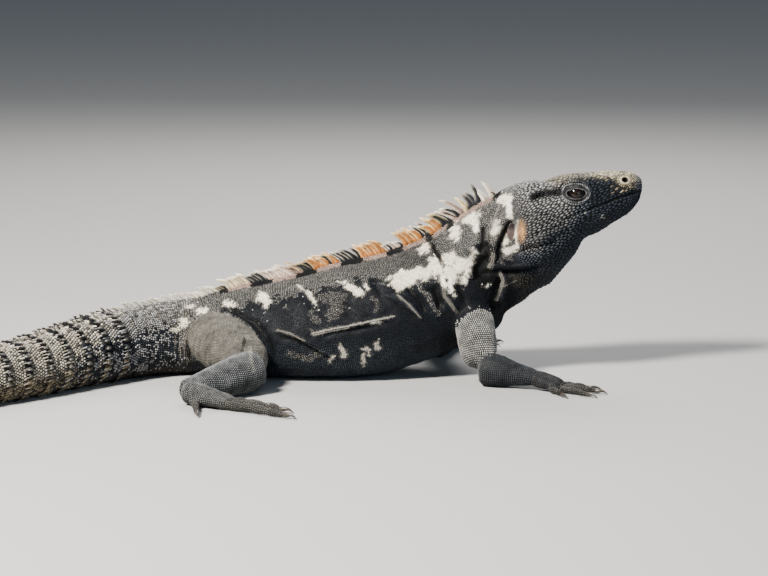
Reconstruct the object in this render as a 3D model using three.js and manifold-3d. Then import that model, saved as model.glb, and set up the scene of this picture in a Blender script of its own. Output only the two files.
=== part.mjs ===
// Western spiny-tailed iguana, adult male, life size, lying at rest with its head raised.
// Millimetres, +Z up. +X points to the snout, -Y is the animal's right side, and the animal
// rests on small flats of its belly, limbs and tail at Z = 0.
import * as THREE from "three";
import { mergeVertices } from "three/addons/utils/BufferGeometryUtils.js";
import Module from "manifold-3d";

const wasm = await Module();
wasm.setup();

// ---- driving dimensions -------------------------------------------------------------
const GAP = 0.3;                   // parting between neighbouring nodes
const HALF_PARTING = 0.011;        // half of it, as a share of the way from one section to the next
const BODY_SIDES = 20;             // facets round the head, neck and trunk
const TAIL_SIDES = 9;
const LIMB_SIDES = 8;
const DIGIT_SIDES = 5;
const TAIL_LENGTH = 500;
const TAIL_BASE_RADIUS = 27;
const TAIL_TIP_RADIUS = 1.8;
const TAIL_WHORLS = 32;            // rings of spiny scales, closer together towards the tip
const TAIL_PARTS = 4;
const CREST_SPACING = 4.2;         // along the middle of the back
const EYE_RADIUS = 8;
const EYE_PLACE = [136.4, 13.2, 131.6];
const EAR_PLACE = [93.5, 28.2, 109];
const EAR_HALF_SIZE = [4, 2, 6.5];
const NOSTRIL_PLACE = [171.6, 11.2, 140.8];
const NOSTRIL_RADIUS = 1.9;
const CLAW_LENGTH = 7;

// Cross-sections of the body from the snout to the hips: the top and the bottom of each
// section in the middle plane, its half width, the height of its widest level (0 is the
// bottom, 1 the top) and how square its upper and lower halves are (2 is an ellipse).
const BODY_SECTIONS = [
  // top x, z       bottom x, z     half  widest crown keel
  [184.7, 140.3, 183.6, 126.8, 5.0, 0.55, 2.2, 2.2],     // lips
  [180.7, 144.0, 180.7, 121.7, 9.5, 0.50, 2.3, 2.2],
  [173.5, 146.2, 175.0, 115.2, 12.5, 0.50, 2.4, 2.1],    // nostrils
  [162.7, 146.2, 164.2, 108.3, 15.5, 0.48, 2.5, 2.1],
  [151.2, 145.4, 153.4, 101.3, 18.5, 0.48, 2.6, 2.0],
  [139.0, 144.3, 142.6, 96.2, 21.5, 0.48, 2.6, 2.0],     // eyes
  [126.7, 142.9, 136.1, 84.6, 25.0, 0.46, 2.4, 1.9],
  [114.5, 139.4, 126.7, 72.9, 28.5, 0.45, 2.2, 1.9],
  [101.5, 139.3, 119.0, 64.0, 30.5, 0.45, 2.1, 1.8],     // jaw muscles
  [89.3, 135.3, 109.0, 58.3, 29.5, 0.47, 2.1, 1.8],      // ears
  [77.8, 127.2, 99.0, 50.5, 27.0, 0.50, 2.0, 1.8],       // nape and throat
  [63.4, 118.1, 87.8, 43.0, 28.5, 0.52, 1.9, 1.8],
  [49.0, 108.6, 83.5, 33.5, 33.0, 0.50, 1.85, 1.9],
  [33.1, 98.2, 73.0, 26.0, 37.0, 0.48, 1.8, 2.0],        // shoulders
  [15.1, 90.6, 50.0, 17.0, 41.0, 0.45, 1.8, 2.2],
  [-6.5, 83.8, 20.0, 6.0, 45.5, 0.42, 1.8, 2.4],
  [-31.7, 78.7, -12.0, -1.0, 49.0, 0.40, 1.8, 2.6],
  [-60.5, 70.9, -50.0, -1.5, 49.5, 0.40, 1.8, 2.7],      // belly
  [-87.8, 65.2, -84.0, -1.5, 45.0, 0.40, 1.85, 2.7],
  [-112.0, 60.3, -112.0, -1.5, 35.5, 0.42, 1.9, 2.5],    // groin
];
const NAPE = 10;                   // section where the head meets the neck
const SHOULDER = 12.5;             // section where the neck meets the trunk

// The tail's middle line on the floor, from the hips to the tip.
const TAIL_ROUTE = [
  [-136, 0], [-160, -5], [-188, -22], [-217, -53], [-256, -101], [-312, -156], [-388, -202], [-476, -218],
  [-554, -204],
];

// Swellings on each side of the head: place, reach and rise.
const HEAD_SWELLINGS = [
  { at: [138, 16, 142.5], reach: 11, rise: 1.6 },          // brow over the eye
  { at: [104, 30, 104], reach: 19, rise: 2.6 },          // jaw muscle
  { at: [173.5, 10, 141], reach: 6, rise: 1.0 },         // nostril
];

// The closed mouth, from the lips back to its corner, then down behind the jaw to the throat.
const MOUTH_LINE = [[191, 134.6], [185, 132.7], [171.4, 127.6], [159.8, 122.8], [148.3, 118.5], [138.2, 115.2],
  [130, 111]];
const JAW_REAR = [[115, 96], [118, 50]];

// ---- colours ------------------------------------------------------------------------
const finish = (color, roughness) => new THREE.MeshStandardMaterial({ color, roughness, metalness: 0 });
const darkSkin = finish(0x34322f, 0.75);
const greySkin = finish(0x6f685c, 0.75);
const tailSkin = finish(0x4a443b, 0.8);
const eyeGloss = finish(0x1c1410, 0.15);
const earSkin = finish(0x9a7250, 0.6);
const clawHorn = finish(0x2b2622, 0.4);

const model = new THREE.Group();

// ---- solids -------------------------------------------------------------------------
function volumeOf(geometry) {
  const place = geometry.getAttribute("position");
  const [a, b, c] = [new THREE.Vector3(), new THREE.Vector3(), new THREE.Vector3()];
  let sum = 0;
  for (let i = 0; i < geometry.index.count; i += 3) {
    a.fromBufferAttribute(place, geometry.index.getX(i));
    b.fromBufferAttribute(place, geometry.index.getX(i + 1));
    c.fromBufferAttribute(place, geometry.index.getX(i + 2));
    sum += a.dot(b.cross(c)) / 6;
  }
  return sum;
}

// A closed geometry as a solid, turned right side out if its making turned it inside out.
function solid(geometry) {
  geometry.deleteAttribute("normal");
  geometry.deleteAttribute("uv");
  const merged = mergeVertices(geometry, 1e-4);
  const corners = Uint32Array.from(merged.index.array);
  if (volumeOf(merged) < 0) {
    for (let i = 0; i < corners.length; i += 3) {
      [corners[i], corners[i + 1]] = [corners[i + 1], corners[i]];
    }
  }
  const places = Float32Array.from(merged.getAttribute("position").array);
  return new wasm.Manifold(new wasm.Mesh({ numProp: 3, vertProperties: places, triVerts: corners }));
}

function moved(geometry, shift) {
  const place = geometry.getAttribute("position");
  const point = new THREE.Vector3();
  for (let i = 0; i < place.count; i++) {
    point.fromBufferAttribute(place, i);
    const to = shift(point);
    place.setXYZ(i, to.x, to.y, to.z);
  }
  return geometry;
}

// A cylinder wrapped over sections: place(t, angle, r) gives the point at t along the length
// (0 to 1), at an angle round it, with r 0 on the axis and 1 on the surface.
function wrapped(sides, steps, place) {
  return solid(moved(new THREE.CylinderGeometry(1, 1, 1, sides, steps), (p) => {
    const r = Math.min(1, Math.hypot(p.x, p.z));
    return place(0.5 - p.y, Math.atan2(p.z, p.x), r);
  }));
}

function ellipsoid([x, y, z], [rx, ry, rz], across = 8, up = 6) {
  const ball = new THREE.SphereGeometry(1, across, up);
  return solid(ball.scale(rx, ry, rz).translate(x, y, z));
}

const floorBlock = solid(new THREE.BoxGeometry(1400, 900, 100).translate(-200, 0, -50));

function addNode(name, body, material) {
  const mesh = body.subtract(floorBlock).getMesh();
  const geometry = new THREE.BufferGeometry();
  const places = new Float32Array(mesh.numVert * 3);
  for (let i = 0; i < mesh.numVert; i++) {
    for (let k = 0; k < 3; k++) places[i * 3 + k] = mesh.vertProperties[i * mesh.numProp + k];
  }
  geometry.setAttribute("position", new THREE.BufferAttribute(places, 3));
  geometry.setIndex(new THREE.BufferAttribute(Uint32Array.from(mesh.triVerts), 1));
  geometry.computeVertexNormals();
  const node = new THREE.Mesh(geometry, material);
  node.name = name;
  model.add(node);
}

// ---- sections of the body -----------------------------------------------------------
const lerp = (a, b, f) => a + (b - a) * f;
const clamp = (x, low, high) => Math.min(high, Math.max(low, x));

function catmullRom(a, b, c, d, f) {
  return b + 0.5 * f * (c - a + f * (2 * a - 5 * b + 4 * c - d + f * (3 * (b - c) + d - a)));
}

const tailCurve = new THREE.CatmullRomCurve3(TAIL_ROUTE.map(([x, y]) => new THREE.Vector3(x, y, 0)));
tailCurve.arcLengthDivisions = 400;

function tailRadius(s) {
  return lerp(TAIL_BASE_RADIUS, TAIL_TIP_RADIUS, Math.pow(s / TAIL_LENGTH, 1.05));
}

// A section is one row of numbers: top xyz, bottom xyz, side xyz, half, widest, crown, keel.
function tailSection(s, relief = 0) {
  const f = clamp(s / TAIL_LENGTH, 0, 1);
  const middle = tailCurve.getPointAt(f);
  const along = tailCurve.getTangentAt(f);
  const radius = tailRadius(s) + relief;
  const low = Math.min(0, -relief) - 0.6;
  return [middle.x, middle.y, 2 * tailRadius(s) + relief - 0.6, middle.x, middle.y, low,
    along.y, -along.x, 0, radius, 0.5, 2, 2];
}

const sections = BODY_SECTIONS.map(([tx, tz, bx, bz, ...shape]) => [tx, 0, tz, bx, 0, bz, 0, 1, 0, ...shape]);
sections.push(tailSection(0), tailSection(26));
const HIPS = sections.length - 2;      // section where the trunk meets the tail

function bodySection(t) {
  const i = clamp(Math.floor(t), 0, sections.length - 2);
  const row = (k) => sections[clamp(k, 0, sections.length - 1)];
  return row(i).map((_, k) => catmullRom(row(i - 1)[k], row(i)[k], row(i + 1)[k], row(i + 2)[k], t - i));
}

// The point of a section at an angle round it, grown outwards by a small clearance.
function onSection(section, angle, r, grow = 0) {
  const [tx, ty, tz, bx, by, bz, sx, sy, sz, half, widest, crown, keel] = section;
  const top = new THREE.Vector3(tx, ty, tz);
  const bottom = new THREE.Vector3(bx, by, bz);
  const side = new THREE.Vector3(sx, sy, sz).normalize();
  const height = top.distanceTo(bottom);
  const [c, s] = [Math.cos(angle), Math.sin(angle)];
  const power = 2 / (s >= 0 ? crown : keel);
  const reach = s >= 0 ? (1 - widest) * height + grow : widest * height + grow;
  const across = (half + grow) * Math.sign(c) * Math.pow(Math.abs(c), power);
  const rise = widest * height + Math.sign(s) * reach * Math.pow(Math.abs(s), power);
  const centre = widest * height;
  return bottom.clone()
    .addScaledVector(top.sub(bottom).normalize(), lerp(centre, rise, r))
    .addScaledVector(side, across * r);
}

function swollen(point) {
  const out = new THREE.Vector3();
  for (const { at, reach, rise } of HEAD_SWELLINGS) {
    const sign = point.y < 0 ? -1 : 1;
    const away = Math.hypot(point.x - at[0], point.y - sign * at[1], point.z - at[2]) / reach;
    if (away < 1) {
      const lift = rise * (1 - away * away) ** 2;
      out.add(new THREE.Vector3(0, sign * at[1], at[2] - 118).normalize().multiplyScalar(lift));
    }
  }
  return point.add(out);
}

const spaced = (from, to, count) => Array.from({ length: count + 1 }, (_, i) => lerp(from, to, i / count));
const headRings = spaced(0, NAPE, 16);
const neckRings = spaced(NAPE, SHOULDER, 5);
const trunkRings = spaced(SHOULDER, HIPS, 12);

// A length of the body over its rings, its ends drawn back by half a parting where asked.
function bodyLength(rings, { grow = 0, front = 0, back = 0, shape = (p) => p } = {}) {
  const last = rings.length - 1;
  return wrapped(BODY_SIDES, last, (t, angle, r) => {
    const ring = Math.round(t * last);
    const place = rings[ring] + (ring === 0 ? front : ring === last ? -back : 0);
    return shape(onSection(bodySection(place), angle, r, grow));
  });
}

// ---- limbs --------------------------------------------------------------------------
// A limb's length is a smooth curve through its joints, with [across, up] half sizes along it.
// Its ends are rounded over the given share of its length, and grow widens it for a clearance.
function limbLength({ joints, girths, over, sides = LIMB_SIDES, steps = 6, round = [0.18, 0.18] }, grow = 0) {
  const curve = new THREE.CatmullRomCurve3(joints.map((j) => new THREE.Vector3(...j)));
  const reference = new THREE.Vector3(...over);
  return wrapped(sides, steps, (t, angle, r) => {
    const along = 0.5 - 0.5 * Math.cos(Math.PI * t);
    const middle = curve.getPointAt(along);
    const ahead = curve.getTangentAt(along);
    const side = reference.clone().cross(ahead).normalize();
    const up = ahead.clone().cross(side).normalize();
    const place = along * (girths.length - 1);
    const i = Math.min(girths.length - 2, Math.floor(place));
    const near = round[0] ? clamp(1 - along / round[0], 0, 1) : 0;
    const far = round[1] ? clamp(1 - (1 - along) / round[1], 0, 1) : 0;
    const taper = Math.sqrt(1 - 0.9 * Math.max(near, far) ** 2);
    const wide = (lerp(girths[i][0], girths[i + 1][0], place - i) * taper + grow) * r;
    const tall = (lerp(girths[i][1], girths[i + 1][1], place - i) * taper + grow) * r;
    return middle.clone()
      .addScaledVector(ahead, grow * (t === 0 ? -1 : t === 1 ? 1 : 0))
      .addScaledVector(side, wide * Math.cos(angle))
      .addScaledVector(up, tall * Math.sin(angle));
  });
}

const flat = (x, y, bearing, length) => [x + length * Math.cos(bearing), y + length * Math.sin(bearing)];

// A finger or toe: a low arch from its knuckle to its tip, ending in a hooked claw.
function digit({ root, bearing, length, thick }) {
  const [mx, my] = flat(root[0], root[1], bearing, length * 0.5);
  const [ex, ey] = flat(root[0], root[1], bearing, length);
  const joints = [root, [mx, my, thick * 1.35], [ex, ey, thick * 0.75]];
  const girths = [[thick * 1.15, thick * 1.1], [thick, thick], [thick * 0.8, thick * 0.8]];
  return limbLength({ joints, girths, over: [0, 0, 1], sides: DIGIT_SIDES, steps: 4, round: [0, 0.2] });
}

function claw({ root, bearing, length, thick }) {
  const horn = new THREE.ConeGeometry(1, 1, 4, 2);
  return solid(moved(horn, (p) => {
    const along = p.y + 0.5;
    const [x, y] = flat(root[0], root[1], bearing, length + 0.35 + along * CLAW_LENGTH);
    const drop = thick * 0.8 + 1.1 * Math.sin(Math.PI * along * 0.8) - along * thick * 0.72;
    const wide = p.x * thick * 0.45;
    const tall = p.z * thick * 0.62;
    return new THREE.Vector3(x - wide * Math.sin(bearing), y + wide * Math.cos(bearing), drop + tall);
  }));
}

// A hand or foot spreads five digits from its palm; each is given by where it leaves the
// ankle or wrist, its turn from the palm's own bearing (positive to the thumb) and its length.
function extremity({ palm, bearing, side, digits }) {
  const spread = digits.map(({ back, out, turn, length, thick }) => {
    const turned = bearing + side * THREE.MathUtils.degToRad(turn);
    const [x, y] = flat(...flat(palm.joints[0][0], palm.joints[0][1], bearing, back), bearing + side * Math.PI / 2, out);
    return { root: [x, y, thick * 1.15], bearing: turned, length, thick };
  });
  return { palm, spread };
}

const HAND_DIGITS = [
  { back: 14, out: 7.5, turn: 42, length: 15, thick: 2.4 },
  { back: 19, out: 5.0, turn: 20, length: 21, thick: 2.4 },
  { back: 20, out: 0.5, turn: 2, length: 27, thick: 2.5 },
  { back: 19, out: -4.5, turn: -15, length: 27, thick: 2.4 },
  { back: 15, out: -7.5, turn: -42, length: 19, thick: 2.3 },
];
const FOOT_DIGITS = [
  { back: 24, out: 8.0, turn: 36, length: 20, thick: 2.6 },
  { back: 31, out: 5.5, turn: 20, length: 29, thick: 2.7 },
  { back: 34, out: 1.0, turn: 8, length: 41, thick: 2.9 },
  { back: 33, out: -4.5, turn: -4, length: 54, thick: 2.9 },
  { back: 12, out: -7.0, turn: -52, length: 30, thick: 2.6 },
];

const UPRIGHT = [0, 0, 1];
const FORWARD = [1, 0, 0];
const LIMBS = [
  {
    side: "right", sign: -1,
    arm: { shoulder: [62, -16, 54], middle: [65, -39, 36], elbow: [68.5, -51, 12.3], wrist: [105, -67, 8.5] },
    handBearing: -0.42,
    leg: { hip: [-122, -14, 30], middle: [-108, -48, 25], knee: [-87, -75, 16], ankle: [-136, -119, 9] },
    footBearing: -0.52,
  },
  {
    side: "left", sign: 1,
    arm: { shoulder: [60, 16, 54], middle: [50, 42, 35], elbow: [37, 55, 12.3], wrist: [52, 92, 8.5] },
    handBearing: 0.9,
    leg: { hip: [-122, 14, 30], middle: [-106, 48, 26], knee: [-82, 73, 16.5], ankle: [-130, 115, 9] },
    footBearing: 0.42,
  },
];

// ---- the animal ---------------------------------------------------------------------
const wholeHead = bodyLength(headRings, { back: HALF_PARTING, shape: swollen });
const sockets = [-1, 1].flatMap((sign) => {
  const [ex, ey, ez] = EYE_PLACE;
  const [rx, ry, rz] = EAR_PLACE;
  const grown = (v) => v + GAP;
  return [
    ellipsoid([ex, sign * ey, ez], Array(3).fill(EYE_RADIUS + GAP), 12, 7),
    ellipsoid([rx, sign * ry, rz], EAR_HALF_SIZE.map(grown)),
    ellipsoid([NOSTRIL_PLACE[0], sign * NOSTRIL_PLACE[1], NOSTRIL_PLACE[2]], Array(3).fill(NOSTRIL_RADIUS), 6, 4),
  ];
});

function jawBlock(raise) {
  const outline = [...MOUTH_LINE, ...JAW_REAR].map(([x, z], i) => new THREE.Vector2(x - (i > 6 ? raise : 0), z + raise));
  outline.push(new THREE.Vector2(191, 50));
  const block = new THREE.ExtrudeGeometry(new THREE.Shape(outline), { depth: 120, bevelEnabled: false });
  return solid(block.rotateX(Math.PI / 2).translate(0, 60, 0));
}

const upperHead = sockets.reduce((body, hole) => body.subtract(hole), wholeHead.subtract(jawBlock(GAP)));
addNode("head", upperHead, darkSkin);
addNode("lower_jaw", wholeHead.intersect(jawBlock(0)), darkSkin);

for (const { side, sign } of LIMBS) {
  const [ex, ey, ez] = EYE_PLACE;
  addNode(`eye_${side}`, ellipsoid([ex, sign * ey, ez], Array(3).fill(EYE_RADIUS), 12, 7), eyeGloss);
  const [rx, ry, rz] = EAR_PLACE;
  addNode(`ear_${side}`, ellipsoid([rx, sign * ry, rz], EAR_HALF_SIZE), earSkin);
}

// The crest is a row of flat, backward-curved spines, tallest on the nape.
function crestHeight(t) {
  const knots = [[9.9, 4], [10.6, 13], [12, 13.5], [14, 12.5], [16, 11.5], [18, 10], [19.3, 7.5], [20.2, 4], [21, 1.6]];
  const next = knots.findIndex(([at]) => at > t);
  if (next <= 0) return knots[next === 0 ? 0 : knots.length - 1][1];
  const [[t0, h0], [t1, h1]] = [knots[next - 1], knots[next]];
  return lerp(h0, h1, (t - t0) / (t1 - t0));
}

function crestSpine(t) {
  const [x, , z] = bodySection(t);
  const [bx, , bz] = bodySection(t + 0.1);
  const back = new THREE.Vector3(bx - x, 0, bz - z).normalize();
  const rise = new THREE.Vector3(-back.z, 0, back.x).multiplyScalar(Math.sign(back.x));
  const height = crestHeight(t);
  const length = (CREST_SPACING - 0.5) / 2;
  return solid(moved(new THREE.ConeGeometry(1, 1, 4, 2), (p) => {
    const up = p.y + 0.5;
    return new THREE.Vector3(x, 0, z)
      .addScaledVector(rise, up * height - 1.6 * (1 - up))
      .addScaledVector(back, p.x * length + 0.55 * height * up ** 1.6)
      .add(new THREE.Vector3(0, p.z * 1.1, 0));
  }));
}

function crestAlong(from, to, firstStep) {
  const spines = [];
  let t = from + firstStep;
  while (t < to) {
    spines.push(crestSpine(t));
    const [x0, , z0] = bodySection(t);
    const [x1, , z1] = bodySection(t + 0.1);
    t += 0.1 * CREST_SPACING / Math.hypot(x1 - x0, z1 - z0);
  }
  return spines;
}

const neck = bodyLength(neckRings, { front: HALF_PARTING, back: HALF_PARTING });
addNode("neck", crestAlong(NAPE, SHOULDER - 0.1, 0.14).reduce((body, spine) => body.add(spine), neck), darkSkin);
const trunk = bodyLength(trunkRings, { front: HALF_PARTING });
addNode("trunk", crestAlong(SHOULDER, HIPS - 0.1, 0.12).reduce((body, spine) => body.add(spine), trunk), darkSkin);

// The tail tapers in whorls: each rises to a ring of spines and drops to the next.
const whorlStart = (k) => TAIL_LENGTH * (k / TAIL_WHORLS) * (1.25 - 0.25 * k / TAIL_WHORLS);
const WHORLS_PER_PART = TAIL_WHORLS / TAIL_PARTS;
for (let part = 0; part < TAIL_PARTS; part++) {
  const first = part * WHORLS_PER_PART;
  addNode(`tail_${part + 1}`, wrapped(TAIL_SIDES, 2 * WHORLS_PER_PART - 1, (t, angle, r) => {
    const ring = Math.round(t * (2 * WHORLS_PER_PART - 1));
    const whorl = first + Math.floor(ring / 2);
    const [start, end] = [whorlStart(whorl), whorlStart(whorl + 1)];
    const s = ring % 2 ? lerp(start, end, 0.92) : start + (ring === 0 ? GAP : 0);
    const spines = ring % 2 ? 0.35 + 2.1 * tailRadius(s) / TAIL_BASE_RADIUS : 0;
    return onSection(tailSection(s, spines), angle, r);
  }), tailSkin);
}

// Limbs grow out of the body, and each length ends on the one before it with a thin parting.
const bodyClearance = bodyLength([...neckRings, ...trunkRings.slice(1), HIPS + 0.9], { grow: GAP });
const tailClearance = wrapped(TAIL_SIDES, 4, (t, angle, r) => onSection(tailSection(t * 60, 3), angle, r));
for (const { side, sign, arm, handBearing, leg, footBearing } of LIMBS) {
  const upperArm = { joints: [arm.shoulder, arm.middle, arm.elbow], over: FORWARD,
    girths: [[12, 13], [12.5, 14], [12, 12.5]], round: [0, 0.2] };
  const forearm = { joints: [arm.elbow, arm.wrist], over: UPRIGHT,
    girths: [[12.3, 12.3], [12, 11.5], [9, 8.5], [7.2, 6.2]], round: [0.1, 0] };
  const thigh = { joints: [leg.hip, leg.middle, leg.knee], over: UPRIGHT,
    girths: [[23, 21], [21.5, 20], [15, 14.5]], round: [0, 0.22] };
  const shank = { joints: [leg.knee, leg.ankle], over: UPRIGHT,
    girths: [[14, 14.5], [14, 13.5], [11, 10.5], [8, 8]], round: [0.1, 0] };
  const palm = { joints: [arm.wrist, [...flat(arm.wrist[0], arm.wrist[1], handBearing, 21), 4.2]], over: UPRIGHT,
    girths: [[7.2, 6.4], [9.5, 5.4], [10, 3.8]], steps: 4, round: [0.15, 0.2] };
  const sole = { joints: [leg.ankle, [...flat(leg.ankle[0], leg.ankle[1], footBearing, 37), 4.6]], over: UPRIGHT,
    girths: [[8.4, 8.4], [10, 6.5], [10.5, 4.2]], steps: 4, round: [0.12, 0.15] };

  const hand = extremity({ palm, bearing: handBearing, side: -sign, digits: HAND_DIGITS });
  const foot = extremity({ palm: sole, bearing: footBearing, side: -sign, digits: FOOT_DIGITS });
  const whole = (limb) => limb.spread.reduce((body, one) => body.add(digit(one)), limbLength(limb.palm));

  const inBody = (limb) => limb.subtract(bodyClearance).subtract(tailClearance);
  addNode(`upper_arm_${side}`, inBody(limbLength(upperArm)), greySkin);
  addNode(`forearm_${side}`, inBody(limbLength(forearm).subtract(limbLength(upperArm, GAP))), greySkin);
  addNode(`hand_${side}`, whole(hand).subtract(limbLength(forearm, GAP)), greySkin);
  addNode(`thigh_${side}`, inBody(limbLength(thigh)), greySkin);
  addNode(`shank_${side}`, inBody(limbLength(shank).subtract(limbLength(thigh, GAP))), greySkin);
  addNode(`foot_${side}`, whole(foot).subtract(limbLength(shank, GAP)), greySkin);
  hand.spread.forEach((one, i) => addNode(`claw_hand_${side}_${i + 1}`, claw(one), clawHorn));
  foot.spread.forEach((one, i) => addNode(`claw_foot_${side}_${i + 1}`, claw(one), clawHorn));
}

// The origin is the middle of the rest surface under the whole animal.
const extent = new THREE.Box3().setFromObject(model);
const middle = extent.getCenter(new THREE.Vector3());
model.position.set(-middle.x, -middle.y, 0);
model.updateMatrixWorld(true);

export default model;
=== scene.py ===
import itertools
import math

import bmesh
import bpy
import numpy as np
from mathutils import Matrix, Vector
from mathutils.bvhtree import BVHTree
from mathutils.kdtree import KDTree


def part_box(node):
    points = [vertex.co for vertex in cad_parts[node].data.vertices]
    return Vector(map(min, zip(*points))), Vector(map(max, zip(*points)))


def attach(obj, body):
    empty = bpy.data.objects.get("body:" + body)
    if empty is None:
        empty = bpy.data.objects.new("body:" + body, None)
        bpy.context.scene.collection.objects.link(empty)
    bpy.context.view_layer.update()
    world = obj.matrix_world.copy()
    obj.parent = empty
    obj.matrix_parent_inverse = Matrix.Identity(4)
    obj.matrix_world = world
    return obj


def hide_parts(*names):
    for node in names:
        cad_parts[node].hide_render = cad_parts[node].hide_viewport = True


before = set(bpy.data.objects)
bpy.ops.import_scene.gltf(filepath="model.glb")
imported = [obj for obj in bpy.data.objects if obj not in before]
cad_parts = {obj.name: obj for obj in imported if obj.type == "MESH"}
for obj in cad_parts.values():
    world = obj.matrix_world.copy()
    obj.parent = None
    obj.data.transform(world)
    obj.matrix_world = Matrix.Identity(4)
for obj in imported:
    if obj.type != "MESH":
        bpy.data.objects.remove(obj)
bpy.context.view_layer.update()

# ---- the hide: form -----------------------------------------------------------------
# The living skin is one loose sheet without a seam. It is lofted over the sections of the
# flesh, a scale's depth inside them, and closed by remeshing.
# Lengths are millimetres, with +X to the snout and -Y the animal's right side.
EYE_CENTRE = np.array([136.4, 13.2, 131.6])
eye_low, eye_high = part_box("eye_right")
SHIFT = (np.array(eye_low) + np.array(eye_high)) * 500 - EYE_CENTRE * (1, -1, 1)
SIDES = {"right": -1, "left": 1}
COAT_DEPTH, DIGIT_COAT_DEPTH = 0.8, 0.3
LIMB_COAT_DEPTH = COAT_DEPTH * 0.8
VOXEL = 0.00145
HIPS = 20
TAIL_LENGTH, TAIL_PER_STATION = 500, 25
TAIL_ROOT_RADIUS, TAIL_TIP_RADIUS = 27, 1.8
TAIL_END = HIPS + TAIL_LENGTH / TAIL_PER_STATION
UP_AXIS = np.array([0.0, 0.0, 1.0])
FORWARD_AXIS = np.array([1.0, 0.0, 0.0])

# top x, z, bottom x, z, half width, height of the widest level, squareness above and below
BODY_SECTIONS = [
    (184.7, 140.3, 183.6, 126.8, 5.0, 0.55, 2.2, 2.2), (180.7, 144.0, 180.7, 121.7, 9.5, 0.50, 2.3, 2.2),
    (173.5, 146.2, 175.0, 115.2, 12.5, 0.50, 2.4, 2.1), (162.7, 146.2, 164.2, 108.3, 15.5, 0.48, 2.5, 2.1),
    (151.2, 145.4, 153.4, 101.3, 18.5, 0.48, 2.6, 2.0), (139.0, 144.3, 142.6, 96.2, 21.5, 0.48, 2.6, 2.0),
    (126.7, 142.9, 136.1, 84.6, 25.0, 0.46, 2.4, 1.9), (114.5, 139.4, 126.7, 72.9, 28.5, 0.45, 2.2, 1.9),
    (101.5, 139.3, 119.0, 64.0, 30.5, 0.45, 2.1, 1.8), (89.3, 135.3, 109.0, 58.3, 29.5, 0.47, 2.1, 1.8),
    (77.8, 127.2, 99.0, 50.5, 27.0, 0.50, 2.0, 1.8), (63.4, 118.1, 87.8, 43.0, 28.5, 0.52, 1.9, 1.8),
    (49.0, 108.6, 83.5, 33.5, 33.0, 0.50, 1.85, 1.9), (33.1, 98.2, 73.0, 26.0, 37.0, 0.48, 1.8, 2.0),
    (15.1, 90.6, 50.0, 17.0, 41.0, 0.45, 1.8, 2.2), (-6.5, 83.8, 20.0, 6.0, 45.5, 0.42, 1.8, 2.4),
    (-31.7, 78.7, -12.0, -1.0, 49.0, 0.40, 1.8, 2.6), (-60.5, 70.9, -50.0, -1.5, 49.5, 0.40, 1.8, 2.7),
    (-87.8, 65.2, -84.0, -1.5, 45.0, 0.40, 1.85, 2.7), (-112.0, 60.3, -112.0, -1.5, 35.5, 0.42, 1.9, 2.5),
]
TAIL_ROUTE = [(-136, 0), (-160, -5), (-188, -22), (-217, -53), (-256, -101), (-312, -156), (-388, -202),
              (-476, -218), (-554, -204)]
# place on each side of the head, reach and rise
HEAD_SWELLINGS = [((138, 16, 142.5), 11, 1.6), ((104, 30, 104), 19, 2.6), ((173.5, 10, 141), 6, 1.0)]


def metres(points):
    return (np.asarray(points) + SHIFT) / 1000


def unit(vectors):
    return vectors / np.maximum(np.linalg.norm(vectors, axis=-1, keepdims=True), 1e-12)


def smooth_step(x):
    x = np.clip(x, 0, 1)
    return x * x * (3 - 2 * x)


def past(values, limit, width):
    """0 up to a limit, rising softly to 1 over the width beyond it."""
    return smooth_step((values - limit) / width)


def short_of(values, limit, width):
    """0 from a limit on, rising softly to 1 over the width short of it."""
    return smooth_step((limit - values) / width)


def through_rows(rows, stations):
    """Rows between the rows given, on smooth curves through them."""
    rows = np.asarray(rows, float)
    i = np.clip(np.floor(stations).astype(int), 0, len(rows) - 2)
    f = (stations - i)[..., None]
    a, b, c, d = (rows[np.clip(i + k, 0, len(rows) - 1)] for k in (-1, 0, 1, 2))
    return b + 0.5 * f * (c - a + f * (2 * a - 5 * b + 4 * c - d + f * (3 * (b - c) + d - a)))


def run_of(line):
    """How far along a line each of its points is."""
    return np.concatenate([[0], np.cumsum(np.linalg.norm(np.diff(line, axis=0), axis=1))])


def along(line, run, at):
    """The places on a line where its run, or its share, has those values."""
    return np.stack([np.interp(at, run, column) for column in line.T], -1)


class Course:
    """A smooth line through points, read by the share of its length from 0 to 1."""

    STEPS = 400
    LOOK_AHEAD = 0.004

    def __init__(self, points):
        points = np.asarray(points, float)
        ends = np.vstack([2 * points[0] - points[1], points, 2 * points[-1] - points[-2]])
        pieces = []
        for k in range(len(points) - 1):
            p0, p1, p2, p3 = ends[k:k + 4]
            d0, d1, d2 = (np.sqrt(np.linalg.norm(b - a)) for a, b in ((p0, p1), (p1, p2), (p2, p3)))
            t1 = ((p1 - p0) / d0 - (p2 - p0) / (d0 + d1) + (p2 - p1) / d1) * d1
            t2 = ((p2 - p1) / d1 - (p3 - p1) / (d1 + d2) + (p3 - p2) / d2) * d1
            f = np.linspace(0, 1, self.STEPS, endpoint=k == len(points) - 2)[:, None]
            bend, twist = 3 * (p2 - p1) - 2 * t1 - t2, 2 * (p1 - p2) + t1 + t2
            pieces.append(p1 + t1 * f + bend * f ** 2 + twist * f ** 3)
        self.places = np.vstack(pieces)
        run = run_of(self.places)
        self.share = run / run[-1]

    def at(self, share):
        """The place at a share of the length, and the way ahead there."""
        share = np.clip(share, 0, 1)
        place, before, beyond = (along(self.places, self.share, np.clip(share + step, 0, 1))
                                 for step in (0, -self.LOOK_AHEAD, self.LOOK_AHEAD))
        return place, unit(beyond - before)


tail_course = Course([(x, y, 0) for x, y in TAIL_ROUTE])


def tail_radius(s):
    return TAIL_ROOT_RADIUS + (TAIL_TIP_RADIUS - TAIL_ROOT_RADIUS) * np.clip(s / TAIL_LENGTH, 0, 1) ** 1.05


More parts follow.
